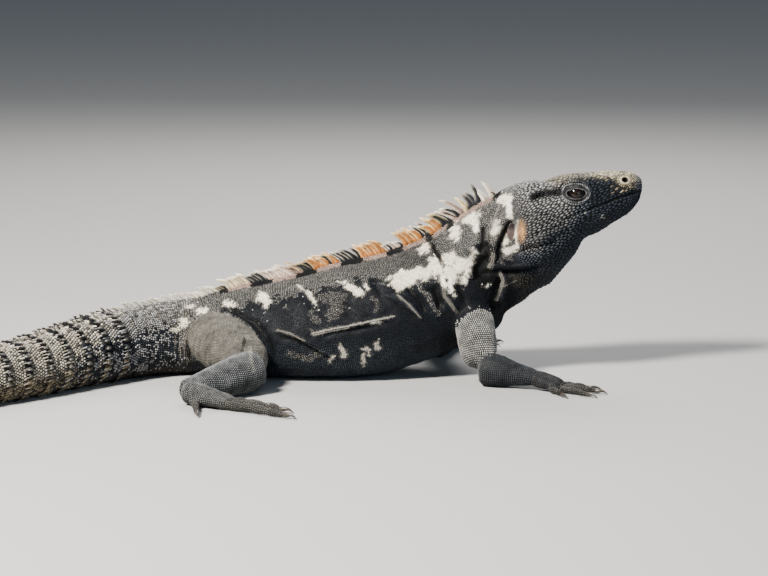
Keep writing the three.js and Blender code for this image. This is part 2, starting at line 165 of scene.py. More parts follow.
def tail_sections(s):
    """Rows of the tail in the layout of the body's, at distances from its root."""
    middle, along = tail_course.at(s / TAIL_LENGTH)
    radius = tail_radius(s)
    rows = np.zeros(np.shape(s) + (13,))
    rows[..., 0:2] = rows[..., 3:5] = middle[..., 0:2]
    rows[..., 2], rows[..., 5] = 2 * radius - 0.6, -0.6
    rows[..., 6], rows[..., 7] = along[..., 1], -along[..., 0]
    rows[..., 9], rows[..., 10], rows[..., 11:] = radius, 0.5, 2
    return rows


# rows: top and bottom places, the way across, half width, widest level and squareness
body_rows = np.vstack([[(tx, 0, tz, bx, 0, bz, 0, 1, 0, *shape) for tx, tz, bx, bz, *shape in BODY_SECTIONS],
                       tail_sections(np.array([0.0, 26.0]))])


def sections_at(stations):
    """Rows of the body up to the hips, then of the tail."""
    stations = np.asarray(stations, float)
    body = through_rows(body_rows, np.minimum(stations, HIPS))
    tail = tail_sections(np.maximum(stations - HIPS, 0) * TAIL_PER_STATION)
    return np.where((stations <= HIPS)[..., None], body, tail)


TAIL_WHORLS = 32


def whorl_start(k):
    return TAIL_LENGTH * (k / TAIL_WHORLS) * (1.25 - 0.25 * k / TAIL_WHORLS)


def whorl_rise(s):
    """How far the tail swells towards the spiny ring of each whorl, in millimetres."""
    whorl = (1.25 - np.sqrt(1.5625 - np.clip(s / TAIL_LENGTH, 0, 1))) / 0.5 * TAIL_WHORLS
    f = whorl - np.floor(whorl)
    saw = np.where(f < 0.9, f / 0.9, (1 - f) / 0.1)
    return saw * (0.2 + 1.5 * tail_radius(s) / TAIL_ROOT_RADIUS) * past(s, 20, 50) * (s > 0)


def body_place(stations, angles, grow=0.0):
    """Places on the animal's outline: angle 0 is its left, a quarter turn the back."""
    stations, angles = np.broadcast_arrays(np.asarray(stations, float), np.asarray(angles, float))
    row = sections_at(stations)
    grow = grow + whorl_rise((stations - HIPS) * TAIL_PER_STATION)
    top, bottom, side = row[..., 0:3], row[..., 3:6], unit(row[..., 6:9])
    half, widest, crown, keel = (row[..., k] for k in range(9, 13))
    span = np.linalg.norm(top - bottom, axis=-1)
    c, s = np.cos(angles), np.sin(angles)
    power = 2 / np.where(s >= 0, crown, keel)
    # the snout and the tip of the tail close in a round end
    blunt = np.sqrt(1 - np.clip((0.6 - stations) / 0.62, 0, 0.97) ** 2)
    blunt = blunt * np.sqrt(1 - np.clip((stations - TAIL_END + 0.1) / 0.103, 0, 0.97) ** 2)
    reach = np.where(s >= 0, 1 - widest, widest) * span + grow
    across = (half + grow) * np.sign(c) * np.abs(c) ** power * blunt
    rise = widest * span + np.sign(s) * reach * np.abs(s) ** power * blunt
    point = bottom + unit(top - bottom) * rise[..., None] + side * across[..., None]
    return swollen(point, stations)


def swollen(point, stations):
    """The head's places, raised over the brows, the jaw muscles and the snout."""
    hand = np.where(point[..., 1] < 0, -1.0, 1.0)
    head = (np.asarray(stations) < 11) + np.zeros(point.shape[:-1])
    out = point.copy()
    for (x, y, z), reach, rise in HEAD_SWELLINGS:
        centre = np.stack([np.full(hand.shape, x), hand * y, np.full(hand.shape, z)], -1)
        away = np.linalg.norm(point - centre, axis=-1) / reach
        lift = rise * np.clip(1 - away ** 2, 0, 1) ** 2 * head
        direction = unit(np.stack([0 * hand, hand * y, np.full(hand.shape, z - 118.0)], -1))
        out += direction * lift[..., None]
    return out


class Limb:
    """A length of limb: a line through its joints with half sizes across and up along it."""

    def __init__(self, joints, girths, over=UP_AXIS, rounded=(0, 0)):
        self.course, self.girths = Course(joints), np.asarray(girths, float)
        self.over, self.rounded = over, rounded

    def place(self, share, angles, grow=0.0):
        share = np.asarray(share, float)
        middle, ahead = self.course.at(share)
        side = unit(np.cross(self.over, ahead))
        up = unit(np.cross(ahead, side))
        size = through_rows(self.girths, share * (len(self.girths) - 1))
        # both ends may close in a round end
        near, far = self.rounded
        closing = np.maximum(np.clip(1 - share / near, 0, 1) if near else 0 * share,
                             np.clip(1 - (1 - share) / far, 0, 1) if far else 0 * share)
        size = size * np.sqrt(1 - 0.95 * closing[..., None] ** 2) + grow
        return middle + side * (size[..., 0] * np.cos(angles))[..., None] \
            + up * (size[..., 1] * np.sin(angles))[..., None]


# each digit's root ahead of the wrist or ankle and to its side, its turn, length and half thickness
HAND_DIGITS = [(14, 7.5, 42, 15, 2.4), (19, 5.0, 20, 21, 2.4), (20, 0.5, 2, 27, 2.5),
               (19, -4.5, -15, 27, 2.4), (15, -7.5, -42, 19, 2.3)]
FOOT_DIGITS = [(24, 8.0, 36, 20, 2.6), (31, 5.5, 20, 29, 2.7), (34, 1.0, 8, 41, 2.9), (33, -4.5, -4, 54, 2.9),
               (12, -7.0, -52, 30, 2.6)]
LIMB_PLACES = {
    "right": dict(
        shoulder=(62, -16, 54), arm=(65, -39, 36), elbow=(68.5, -51, 12.3), wrist=(105, -67, 8.5),
        hip=(-122, -14, 30), leg=(-108, -48, 25), knee=(-87, -75, 16), ankle=(-136, -119, 9),
        hand_bearing=-0.42, foot_bearing=-0.52),
    "left": dict(
        shoulder=(60, 16, 54), arm=(50, 42, 35), elbow=(37, 55, 12.3), wrist=(52, 92, 8.5),
        hip=(-122, 14, 30), leg=(-106, 48, 26), knee=(-82, 73, 16.5), ankle=(-130, 115, 9),
        hand_bearing=0.9, foot_bearing=0.42),
}


def outwards(place, bearing, length):
    return place[0] + length * math.cos(bearing), place[1] + length * math.sin(bearing)


def digits_of(root, bearing, hand, table):
    """Each digit as its limb and what its claw needs: tip, bearing and half thickness."""
    spread = []
    for back, out, turn, length, thick in table:
        x, y = outwards(outwards(root, bearing, back), bearing - hand * math.pi / 2, out)
        turned = bearing - hand * math.radians(turn)
        joints = [(x, y, thick * 1.15), (*outwards((x, y), turned, length / 2), thick * 1.35),
                  (*outwards((x, y), turned, length), thick * 0.75)]
        bones = 5 if length > 35 else 4 if length > 24 else 3
        girths = []
        for k in range(2 * bones + 1):
            knuckle = 1.12 - 0.3 * k / (2 * bones) + (0.07 if k % 2 == 0 else -0.09)
            girths.append((thick * knuckle, thick * knuckle * 0.98))
        limb = Limb(joints, girths, rounded=(0, 0.14))
        spread.append(dict(limb=limb, tip=outwards((x, y), turned, length), bearing=turned, thick=thick))
    return spread


limbs = {}
for side, at in LIMB_PLACES.items():
    palm_end = (*outwards(at["wrist"], at["hand_bearing"], 21), 4.2)
    sole_end = (*outwards(at["ankle"], at["foot_bearing"], 37), 4.6)
    for part, joints, girths, over, rounded in (
            ("upper_arm", [at["shoulder"], at["arm"], at["elbow"]], [(12, 13), (12.6, 14.2), (12, 12.5)],
             FORWARD_AXIS, (0, 0.2)),
            ("forearm", [at["elbow"], at["wrist"]], [(12.3, 12.3), (12.2, 11.7), (9, 8.5), (7.2, 6.2)],
             UP_AXIS, (0.1, 0)),
            ("hand", [at["wrist"], palm_end], [(7.2, 6.4), (9.5, 5.4), (10, 3.8)], UP_AXIS, (0.15, 0.2)),
            ("thigh", [at["hip"], at["leg"], at["knee"]], [(23, 21), (21.5, 20), (15, 14.5)],
             UP_AXIS, (0, 0.22)),
            ("shank", [at["knee"], at["ankle"]], [(14, 14.5), (14.2, 13.8), (11, 10.5), (8, 8)],
             UP_AXIS, (0.1, 0)),
            ("foot", [at["ankle"], sole_end], [(8.4, 8.4), (10, 6.5), (10.5, 4.2)], UP_AXIS, (0.12, 0.15))):
        limbs[f"{part}_{side}"] = Limb(joints, girths, over, rounded)
digits = {f"{part}_{side}": digits_of(at[joint], at[f"{part}_bearing"], SIDES[side], table)
          for side, at in LIMB_PLACES.items()
          for part, joint, table in (("hand", "wrist", HAND_DIGITS), ("foot", "ankle", FOOT_DIGITS))}


def add_tube(bm, rings):
    """A closed tube through rings of places, made from a grid that is rolled up and capped."""
    lengths, sides = rings.shape[:2]
    rolled = np.concatenate([rings, rings[:, :1]], axis=1).reshape(-1, 3)
    made = bmesh.ops.create_grid(bm, x_segments=sides, y_segments=lengths - 1, size=1)["verts"]
    for vert, place in zip(made, metres(rolled)):
        vert.co = place
    bmesh.ops.remove_doubles(bm, verts=made, dist=1e-7)
    made = [v for v in made if v.is_valid]
    rims = [e for v in made for e in v.link_edges if e.is_boundary]
    bmesh.ops.holes_fill(bm, edges=list(set(rims)), sides=0)


def equal_angles(count):
    return np.linspace(0, 2 * math.pi, count, endpoint=False)[None, :]


def object_of(bm, name):
    mesh = bpy.data.meshes.new(name)
    bm.to_mesh(mesh)
    bm.free()
    piece = bpy.data.objects.new(name, mesh)
    bpy.context.scene.collection.objects.link(piece)
    return piece


def apply_modifiers(piece):
    seen = piece.evaluated_get(bpy.context.evaluated_depsgraph_get())
    mesh = bpy.data.meshes.new_from_object(seen)
    piece.modifiers.clear()
    piece.data = mesh


bm = bmesh.new()
stations = np.concatenate([np.linspace(0, HIPS, 230, endpoint=False), np.linspace(HIPS, TAIL_END, 520)])
add_tube(bm, body_place(stations[:, None], equal_angles(110), -COAT_DEPTH))
for limb in limbs.values():
    add_tube(bm, limb.place(np.linspace(0, 1, 44)[:, None], equal_angles(48), -LIMB_COAT_DEPTH))
for spread in digits.values():
    for digit in spread:
        add_tube(bm, digit["limb"].place(np.linspace(0, 1, 40)[:, None], equal_angles(24), -DIGIT_COAT_DEPTH))
bmesh.ops.recalc_face_normals(bm, faces=bm.faces)
hide = object_of(bm, "hide")
remeshed = hide.modifiers.new("remeshed", "REMESH")
remeshed.mode = "VOXEL"
remeshed.voxel_size = VOXEL
apply_modifiers(hide)


def read_all(items, key, width, kind=float):
    """One property of all of a mesh's vertices or edges, a row each."""
    flat = np.empty(len(items) * width, kind)
    items.foreach_get(key, flat)
    return flat.reshape(-1, width)


def read_places(mesh):
    return read_all(mesh.vertices, "co", 3) * 1000 - SHIFT


def write_places(mesh, places):
    mesh.vertices.foreach_set("co", metres(places).ravel())
    mesh.update()


def relax(places, edges, share, rounds):
    """Draws each place towards the middle of its neighbours."""
    count = np.bincount(edges.ravel(), minlength=len(places))[:, None]
    start, end = edges.T
    for _ in range(rounds):
        total = np.stack([np.bincount(start, column[end], len(places))
                          + np.bincount(end, column[start], len(places)) for column in places.T], 1)
        places = places + share * (total / count - places)
    return places


# The head, hands and feet carry the finest forms, so their part of the skin is divided once more.
bm = bmesh.new()
bm.from_mesh(hide.data)


def is_fine(place):
    x, y, z = np.array(place) * 1000 - SHIFT
    return (x > 78 and z > 48) or (z < 9 and (x > 90 or abs(y) > 95) and x > -160)


fine = {v for v in bm.verts if is_fine(v.co)}
fine_edges = [e for e in bm.edges if e.verts[0] in fine and e.verts[1] in fine]
bmesh.ops.subdivide_edges(bm, edges=fine_edges, cuts=1, use_grid_fill=True)
bm.to_mesh(hide.data)
bm.free()
skin = read_places(hide.data)
skin_edges = read_all(hide.data.edges, "vertices", 2, int)
# the limbs' joins are smoothed out, but the digits on the floor keep their thickness
soft = relax(skin, skin_edges, 0.5, 5)
slim = past(skin[:, 2], 6, 6)[:, None]
skin = soft * slim + relax(skin, skin_edges, 0.5, 2) * (1 - slim)
write_places(hide.data, skin)

# ---- the hide: folds and openings ---------------------------------------------------
# Loose skin hangs in folds at the jaw, neck, shoulder and flank, and is pulled into creases
# where the limbs leave the body. They are raised and sunk in the remeshed skin, alike on both
# sides, and then the openings of the eyes, ears and nostrils are sunk into it.

# each fold or crease: its line, half width and height, which is negative for a crease
FOLDS = [
    # the groove behind the ear and the loose fold of the neck behind it
    ([(92, 115.5), (88, 110.5), (84.8, 104), (81.8, 97), (80.8, 92), (81.6, 87), (83, 83.5)], 2.3, -4.2),
    ([(90, 131), (89.5, 124), (88, 118.5), (85, 113), (81.8, 108), (78.8, 102), (77, 97), (77, 91),
      (77.2, 84), (75.4, 79)], 2.4, 2.4),
    ([(83, 124), (79, 116), (76, 108.7), (75.6, 102.4)], 1.9, 1.4),
    ([(70.2, 110.2), (71.1, 103.8), (70.5, 95.2), (67.0, 88.7)], 2.0, -2.6),
    ([(74.6, 99.1), (74, 92.4), (74.5, 86.4)], 2.0, -2.8),
    ([(66, 112), (66.5, 103), (65, 95)], 2.2, 1.1),
    # the brow, which overhangs the eye and runs on to the nostril, and the hollows beside it
    ([(118, 134.5), (124, 138.2), (130.8, 141.4), (137.9, 143.2), (146.5, 143.2), (156, 142.4),
      (164, 141)], 1.5, 1.3),
    ([(121, 131.5), (127, 137.0), (134, 139.9), (142, 140.4), (150, 139.8), (158, 138.0)], 1.3, -1.3),
    ([(107, 129.5), (113, 131.2), (120, 132.2), (126, 133)], 2.0, -1.7),
    ([(150, 133), (158, 132), (164, 133)], 4.0, -0.8),
    # the parting of the lips
    ([(185, 133.3), (177, 131), (169, 129), (158, 125), (146, 121), (136, 118), (129.5, 115)], 0.8, -1.5),
    # folds of the jowl, running back from the corner of the mouth
    ([(131, 112.2), (122.2, 109.5), (113.8, 107), (107.4, 104), (103.2, 100.2)], 1.1, -1.7),
    ([(129.4, 109.6), (121.0, 106), (112.8, 102), (105.3, 99.2), (98.5, 97.4), (94.1, 93.8)], 1.5, 1.2),
    ([(124, 100.5), (116, 97.6), (110.1, 96.3), (102.1, 94.6), (96.7, 91.8), (92.6, 88.6)], 1.5, -2.2),
    ([(127, 105.5), (119, 101.4), (112, 98.4)], 0.8, -0.7),
    ([(126, 95), (116, 91.5), (106, 88.4)], 2.6, 1.0),
    ([(76.2, 81.5), (83.4, 81.6), (91.6, 81.2), (99.8, 81.8), (107.9, 83)], 2.0, 1.9),
    ([(76, 77.6), (83.4, 77.4), (91.6, 77.0), (99.8, 77.6), (107, 79.4), (113, 82)], 1.9, -3.0),
    ([(86, 75.4), (87.5, 69), (85.2, 62), (83, 55.6), (85, 49)], 1.7, 2.4),
    ([(81, 74), (81.6, 68.7), (79, 61.6), (77.4, 55.6), (80, 48.3)], 2.4, -3.0),
    ([(96, 73), (104, 69), (112, 68)], 1.4, -1.0),
    ([(94, 65), (102, 60), (108, 60)], 1.8, -0.9),
    # the hollow between the throat and the shoulder
    ([(70.9, 89), (69, 80), (71, 72)], 6.0, -4.5),
    ([(64, 84), (60, 76), (60, 69)], 2.4, 1.2),
    # shoulder: a deep slanting crease above, then straps of skin that run down to the arm
    ([(33.0, 96.0), (37.0, 90.4), (41.1, 84.3)], 1.6, -2.2),
    ([(23.2, 73.5), (25.5, 67), (29.2, 62.0), (33.6, 54), (37.1, 46)], 1.9, 2.4),
    ([(42.1, 77), (43.1, 65.7), (47.0, 57.9), (51.5, 48.7)], 1.9, 2.4),
    ([(46.5, 74), (48.2, 66), (50, 60.8)], 1.4, 1.5),
    ([(4, 65), (11.3, 60.0), (19.2, 53.5), (28.2, 45.5)], 1.5, 1.7),
    ([(-3.2, 64.2), (10.2, 57.5), (22.1, 50.2), (27, 46)], 1.4, 1.1),
    ([(35, 69), (37, 62), (41, 52)], 3.0, -2.8),
    ([(17, 69), (22, 61), (30, 50)], 2.6, -1.9),
    ([(52, 75), (54, 64), (57, 54)], 2.6, -1.8),
    ([(6, 58), (14, 52.5), (22, 46)], 1.6, -1.0),
    ([(0, 72), (8, 66), (14, 60)], 1.6, -0.8),
    # flank: a long pale ridge over the belly, and slack creases behind it
    ([(-49.9, 35.5), (-37.4, 39.9), (-22.6, 42.0), (-7.6, 44.8), (8.0, 47.8)], 1.35, 1.9),
    ([(-48, 32.6), (-37, 36.6), (-22.6, 38.9), (-7.6, 41.8), (6.0, 44.8)], 1.7, -1.2),
    ([(-76.0, 38.4), (-61.1, 33.6), (-49.2, 27.3), (-37.4, 20.9), (-33, 15)], 1.4, 1.2),
    ([(-75.0, 35.6), (-61.1, 30.8), (-49.2, 24.4), (-38.4, 18.2), (-35, 13)], 1.7, -1.8),
    ([(-46, 71), (-30, 70), (-16, 69), (-8, 64)], 1.5, 0.9),
    ([(-8, 73), (-5, 66), (0, 61)], 1.5, -0.9),
    ([(-62, 62), (-56, 50), (-52, 42)], 5.0, 0.7),
    ([(-28, 63), (-24, 52), (-22, 45)], 4.5, -0.8),
    ([(-70, 52), (-66, 46), (-64, 40)], 4.0, -0.7),
    ([(-40, 14), (-20, 10), (0, 14), (14, 20)], 3.0, 0.7),
    # hip: the crease round the thigh and the short folds behind it
    ([(-137, 38), (-128, 44), (-116, 47.5), (-103, 47), (-91, 41.5), (-82, 32), (-78, 22),
      (-77, 12)], 2.6, -1.9),
    ([(-141.0, 33.5), (-141.8, 22), (-141, 10)], 1.2, 1.5),
    ([(-144.2, 32), (-145.2, 21), (-144, 11)], 1.2, 1.3),
    ([(-148, 30), (-149, 22), (-148.6, 14)], 1.2, 1.0),
    ([(-137.6, 35), (-138.6, 26), (-138, 12)], 1.2, -1.4),
]


def from_line(line, flat):
    """Distance of each place in the side view from a line, and its share of the way along it."""
    line = np.asarray(line, float)
    steps = np.linalg.norm(np.diff(line, axis=0), axis=1)
    start = np.concatenate([[0], np.cumsum(steps)]) / steps.sum()
    best = np.full(len(flat), 1e9)
    share = np.zeros(len(flat))
    for k, (a, b) in enumerate(zip(line[:-1], line[1:])):
        f = np.clip(((flat - a) @ (b - a)) / steps[k] ** 2, 0, 1)
        away = np.linalg.norm(flat - a - f[:, None] * (b - a), axis=1)
        nearer = away < best
        best[nearer], share[nearer] = away[nearer], start[k] + f[nearer] * steps[k] / steps.sum()
    return best, share


MOTTLE_WAVES = 14


def mottle(places, length, seed):
    """A smooth, seeded variation between about -1 and 1 with features of that length."""
    rng = np.random.default_rng(seed)
    ways = unit(rng.normal(size=(MOTTLE_WAVES, 3)))
    ways = ways * (2 * math.pi / length) * rng.uniform(0.6, 1.5, (MOTTLE_WAVES, 1))
    waves = np.sin(places @ ways.T + rng.uniform(0, 2 * math.pi, MOTTLE_WAVES))
    return waves.sum(1) / math.sqrt(MOTTLE_WAVES)


def fold_height(places, normals):
    """How far the folds lift the skin at each place, where it faces sideways enough."""
    flat = places[:, [0, 2]]
    facing = smooth_step((np.abs(normals[:, 1]) - 0.25) / 0.3)
    lift = np.zeros(len(places))
    for line, half, height in FOLDS:
        line = np.asarray(line, float)
        low, high = line.min(0) - 3.2 * half, line.max(0) + 3.2 * half
        near = np.flatnonzero(((flat > low) & (flat < high)).all(1) & (facing > 0))
        away, share = from_line(line, flat[near] + 0.25 * half * mottle(places[near], 14, 7)[:, None])
        ends = smooth_step(np.minimum(share, 1 - share) * 5 + 0.12)
        lift[near] += height * np.exp(-(away / half) ** 2) * ends * facing[near]
    return lift


normals = read_all(hide.data.vertices, "normal", 3)
# the trunk's folds fade out where a limb leaves it
on_trunk = np.ones(len(skin))
for name, limb in limbs.items():
    if name.startswith(("upper_arm", "thigh")):
        middle, _ = limb.course.at(np.linspace(0.5, 1, 12))
        away = np.min(np.linalg.norm(skin[:, None, :] - middle[None], axis=2), axis=1)
        on_trunk = np.minimum(on_trunk, past(away, 13, 5))
lift = fold_height(skin, normals) * np.where(skin[:, 2] > 60, 1, on_trunk)
skin = skin + normals * lift[:, None]


# the fleshy ridge that the crest stands on: stations, and how tall the crest stands there
RIDGE_RISE, CREST_PEAK = 3.4, 13
CREST_RISE = [(9.9, 4), (10.6, 12), (12, 13), (14, 12), (16, 11), (18, 9), (19.3, 7), (20.2, 4), (22, 2.2),
              (24, 1)]
ridge_stations = np.linspace(9.5, 24, 400)
ridge_line = body_place(ridge_stations, np.full(400, math.pi / 2))


def ridge_middle(places):
    """How far to the left of the animal's middle the ridge runs beside each place."""
    return np.interp(-places[:, 0], -ridge_line[:, 0], ridge_line[:, 1])


def ridge_height(places):
    rise = np.interp(ridge_stations, *np.array(CREST_RISE).T)
    return RIDGE_RISE * (np.interp(-places[:, 0], -ridge_line[:, 0], rise) / CREST_PEAK)


beside = ridge_middle(skin)
on_ridge = np.exp(-((skin[:, 1] - beside) / 2.3) ** 2) * past(normals[:, 2], 0.3, 0.3)
on_ridge *= short_of(skin[:, 0], 90, 8) * smooth_step((skin[:, 0] + 215) / 30)
skin = skin + normals * (ridge_height(skin) * on_ridge)[:, None]
skin = relax(skin, skin_edges, 0.4, 1)
skin = skin + normals * (0.16 * mottle(skin, 9, 5) + 0.1 * mottle(skin, 4.5, 6))[:, None]
write_places(hide.data, skin)
bm = bmesh.new()
bm.from_mesh(hide.data)
before_sockets = BVHTree.FromBMesh(bm)
bm.free()


def side_spot(tree, x, z, hand):
    """The spot of the skin at a place in the side view, on the left or the right."""
    spot, _, _, _ = tree.ray_cast(metres((x, hand * 60, z)), (0, -hand, 0), 0.06)
    return None if spot is None else np.array(spot) * 1000 - SHIFT


def outline_depth(x, z, hand):
    """How far to the side the skin lies there, before the openings are sunk."""
    spot = side_spot(before_sockets, x, z, hand)
    return 12.0 if spot is None else abs(spot[1])


NOSTRIL = np.array([171.6, 140.6])
EAR = np.array([90.6, 104.5])
on_head = (skin[:, 0] > 76) & (skin[:, 2] > 60) & (np.abs(skin[:, 1]) > 4)
hand = np.sign(skin[:, 1])
to_eye = np.hypot((skin[:, 0] - EYE_CENTRE[0] + 0.2) / 9.6, (skin[:, 2] - EYE_CENTRE[2] - 0.8) / 6.4)
sunk = 7.0 * short_of(to_eye, 1.08, 0.5)
to_ear = np.hypot((skin[:, 0] - EAR[0]) / 3.3, (skin[:, 2] - EAR[1]) / 7.6)
sunk += 2.8 * short_of(to_ear, 1.15, 0.5)
to_nostril = np.hypot(skin[:, 0] - NOSTRIL[0], skin[:, 2] - NOSTRIL[1])
sunk += 3.2 * short_of(to_nostril, 3.6, 1.2)
skin[:, 1] -= hand * sunk * on_head
skin[:, 2] = np.maximum(skin[:, 2], 0)
write_places(hide.data, skin)
normals = read_all(hide.data.vertices, "normal", 3)

# ---- the coat: how scales are laid --------------------------------------------------
# Every scale is a small horny plate set in the skin: cobbles of many sizes on the head and
# neck, and elsewhere rings, each half a scale out of step with the last. A scale fills the
# room between its neighbours, less a narrow groove.
bm = bmesh.new()
bm.from_mesh(hide.data)
hide_tree = BVHTree.FromBMesh(bm)
face_corners = [[v.index for v in f.verts] for f in bm.faces]
face_areas = np.array([f.calc_area() for f in bm.faces]) * 1e6
bm.free()
# the roots of every scale laid so far
taken = []


def tree_of(places):
    tree = KDTree(len(places))
    for k, place in enumerate(places):
        tree.insert(place, k)
    tree.balance()
    return tree


def flat_on(up, way):
    """A way laid flat on the skin."""
    return unit(way - up * (way * up).sum(1, keepdims=True))


def ring_roots(place, stations, pitches):
    """Station, angle, ring and step round the ring of scales at equal steps on each ring."""
    fine = np.linspace(0, 2 * math.pi, 241) + math.pi / 2
    rings = place(stations[:, None], fine[None, :])
    steps = np.linalg.norm(np.diff(rings, axis=1), axis=2)
    roots = []
    for k, (station, pitch) in enumerate(zip(stations, pitches)):
        run = np.concatenate([[0], np.cumsum(steps[k])])
        count = max(5, int(round(run[-1] / pitch)))
        at = (np.arange(count) + 0.5 * (k % 2)) / count * run[-1]
        angles = np.interp(at, run, fine)
        roots.append(np.stack([np.full(count, station), angles, np.full(count, float(k)),
                               np.full(count, run[-1] / count)], 1))
    return np.vstack(roots)


def even_stations(place, start, end, pitch):
    """Stations whose rings are a pitch apart on the animal's side; pitch may vary with station."""
    t = np.linspace(start, end, 2000)
    line = place(t, np.full(len(t), math.pi))
    gap = np.linalg.norm(np.diff(line, axis=0), axis=1)
    pace = gap / (pitch(t[1:]) if callable(pitch) else pitch)
    run = np.concatenate([[0], np.cumsum(pace)])
    return np.interp(np.arange(0, run[-1], 1.0), run, t)


def settle(place, stations, angles, slack_out, slack_in, ahead):
    """Drops roots from outside the outline onto the hide, and gives its normal and the lie there."""
    base = place(stations, angles)
    behind = place(stations + ahead, angles) - place(stations - ahead, angles)
    around = place(stations, angles + 0.01) - base
    outward = unit(np.cross(behind, around))
    inner = base - place(stations, angles + math.pi)
    outward *= np.where((outward * inner).sum(1) < 0, -1, 1)[:, None]
    starts, ways = metres(base + outward * slack_out), -outward
    kept, spots, faces = [], [], []
    reach = (slack_out + slack_in) / 1000
    for k in range(len(starts)):
        spot, _, face, _ = hide_tree.ray_cast(starts[k], ways[k], reach)
        if face is not None:
            kept.append(k)
            spots.append(spot)
            faces.append(face)
    kept = np.array(kept, int)
    spots = np.array(spots) * 1000 - SHIFT
    up = unit(np.array([normals[face_corners[f]].mean(0) for f in faces]))
    good = (up * outward[kept]).sum(1) > 0.1
    kept, spots, up = kept[good], spots[good], up[good]
    return kept, spots, up, flat_on(up, behind[kept])


def onto_hide(places):
    """The nearest spot of the hide to each place, and its normal."""
    spots, up = [], []
    for place in metres(places):
        spot, _, face, _ = hide_tree.find_nearest(place)
        spots.append(spot)
        up.append(normals[face_corners[face]].mean(0))
    return np.array(spots) * 1000 - SHIFT, unit(np.array(up))


def pattern_of(bm, light, underside):
    """A finished pattern: its places, its faces, which of them face down, and each place's light."""
    places = np.array([v.co[:] for v in bm.verts])
    faces = [[v.index for v in f.verts] for f in bm.faces]
    under = [f.normal.z < underside for f in bm.faces]
    bm.free()
    return places, faces, under, np.asarray(light)


def plate_pattern(sides, shoulder, tilt):
    """A low plate with sloping sides, one wide and one long, whose back edge stands higher."""
    bm = bmesh.new()
    bmesh.ops.create_cone(bm, cap_ends=True, segments=sides, radius1=0.5, radius2=0.5 * shoulder, depth=1)
    crown = max(bm.faces, key=lambda face: face.calc_center_median().z)
    if sides > 6:
        bmesh.ops.poke(bm, faces=[crown])
    light = []
    for vert in bm.verts:
        away = 2 * math.hypot(vert.co.x, vert.co.y)
        if vert.co.z < 0:
            vert.co.z = -0.45
            light.append(0.0)
        else:
            vert.co.z = 0.8 + 0.2 * (1 - away) + tilt * 2 * vert.co.x
            light.append(0.72 + 0.28 * (1 - away) + 0.3 * max(vert.co.x, 0))
    bm.normal_update()
    return pattern_of(bm, np.clip(light, 0, 1), -0.9)


# how much the head is drawn in along its grain when its scales share out their room
LONG = 0.62


def grain_at(places):
    """The way the long scales lie: forward, up and, on either side, inward to the snout."""
    inward = -0.28 * np.clip(places[:, 1] / 8, -1, 1)
    return unit(np.stack([np.full(len(places), 0.88), inward, np.full(len(places), 0.46)], 1))


def long_share(places):
    """Where the scales are long: all over the sides of the head, but not at its openings."""
    x, z = places[:, 0], places[:, 2]
    from_nostril = np.hypot(x - NOSTRIL[0], z - NOSTRIL[1])
    from_ear = np.hypot((x - EAR[0] - 2) / 7, (z - EAR[1]) / 10)
    return (past(x, 86, 10) * short_of(x, 186, 16) * past(z, 72, 12)
            * smooth_step((eye_share(places) - 1.2) / 0.4) * past(from_nostril, 5, 3)
            * past(from_ear, 1, 0.5))


NO_LESS, NO_LIMIT = 0.02, 99


def room_round(spots, up, lie, angles, most):
    """How far each scale reaches at each angle from its lie before it meets a neighbour's room.

    Long scales share out their room as if the skin were drawn in along the grain."""
    everyone = np.concatenate(taken)
    tree = tree_of(everyone)
    across = np.cross(up, lie)
    drawn, grain = LONG * long_share(spots), grain_at(spots)

    def drawn_in(ways):
        return ways - (drawn * (ways * grain).sum(1))[:, None] * grain

    room = np.tile(np.asarray(most, float)[:, None], (1, len(angles)))
    towards = [drawn_in(lie * math.cos(angle) + across * math.sin(angle)) for angle in angles]
    neighbours = 19 if drawn.max() > 0 else 9
    nearby = np.array([[found[1] for found in tree.find_n(spot, neighbours)] for spot in spots])
    for k in range(1, neighbours):
        offset = everyone[nearby[:, k]] - spots
        offset = drawn_in(offset - up * (offset * up).sum(1, keepdims=True))
        square = (offset ** 2).sum(1)
        for column, way in enumerate(towards):
            facing = (offset * way).sum(1)
            reach = np.where(facing > NO_LESS, 0.5 * square / np.maximum(facing, NO_LESS), NO_LIMIT)
            room[:, column] = np.minimum(room[:, column], reach)
    return room


def paint(mesh, colours):
    """Keeps a colour for every corner of the mesh in its tone, which its horn shows."""
    tone = mesh.color_attributes.new("tone", "FLOAT_COLOR", "POINT")
    tone.data.foreach_set("color", np.concatenate([colours, np.ones((len(colours), 1))], 1).ravel())


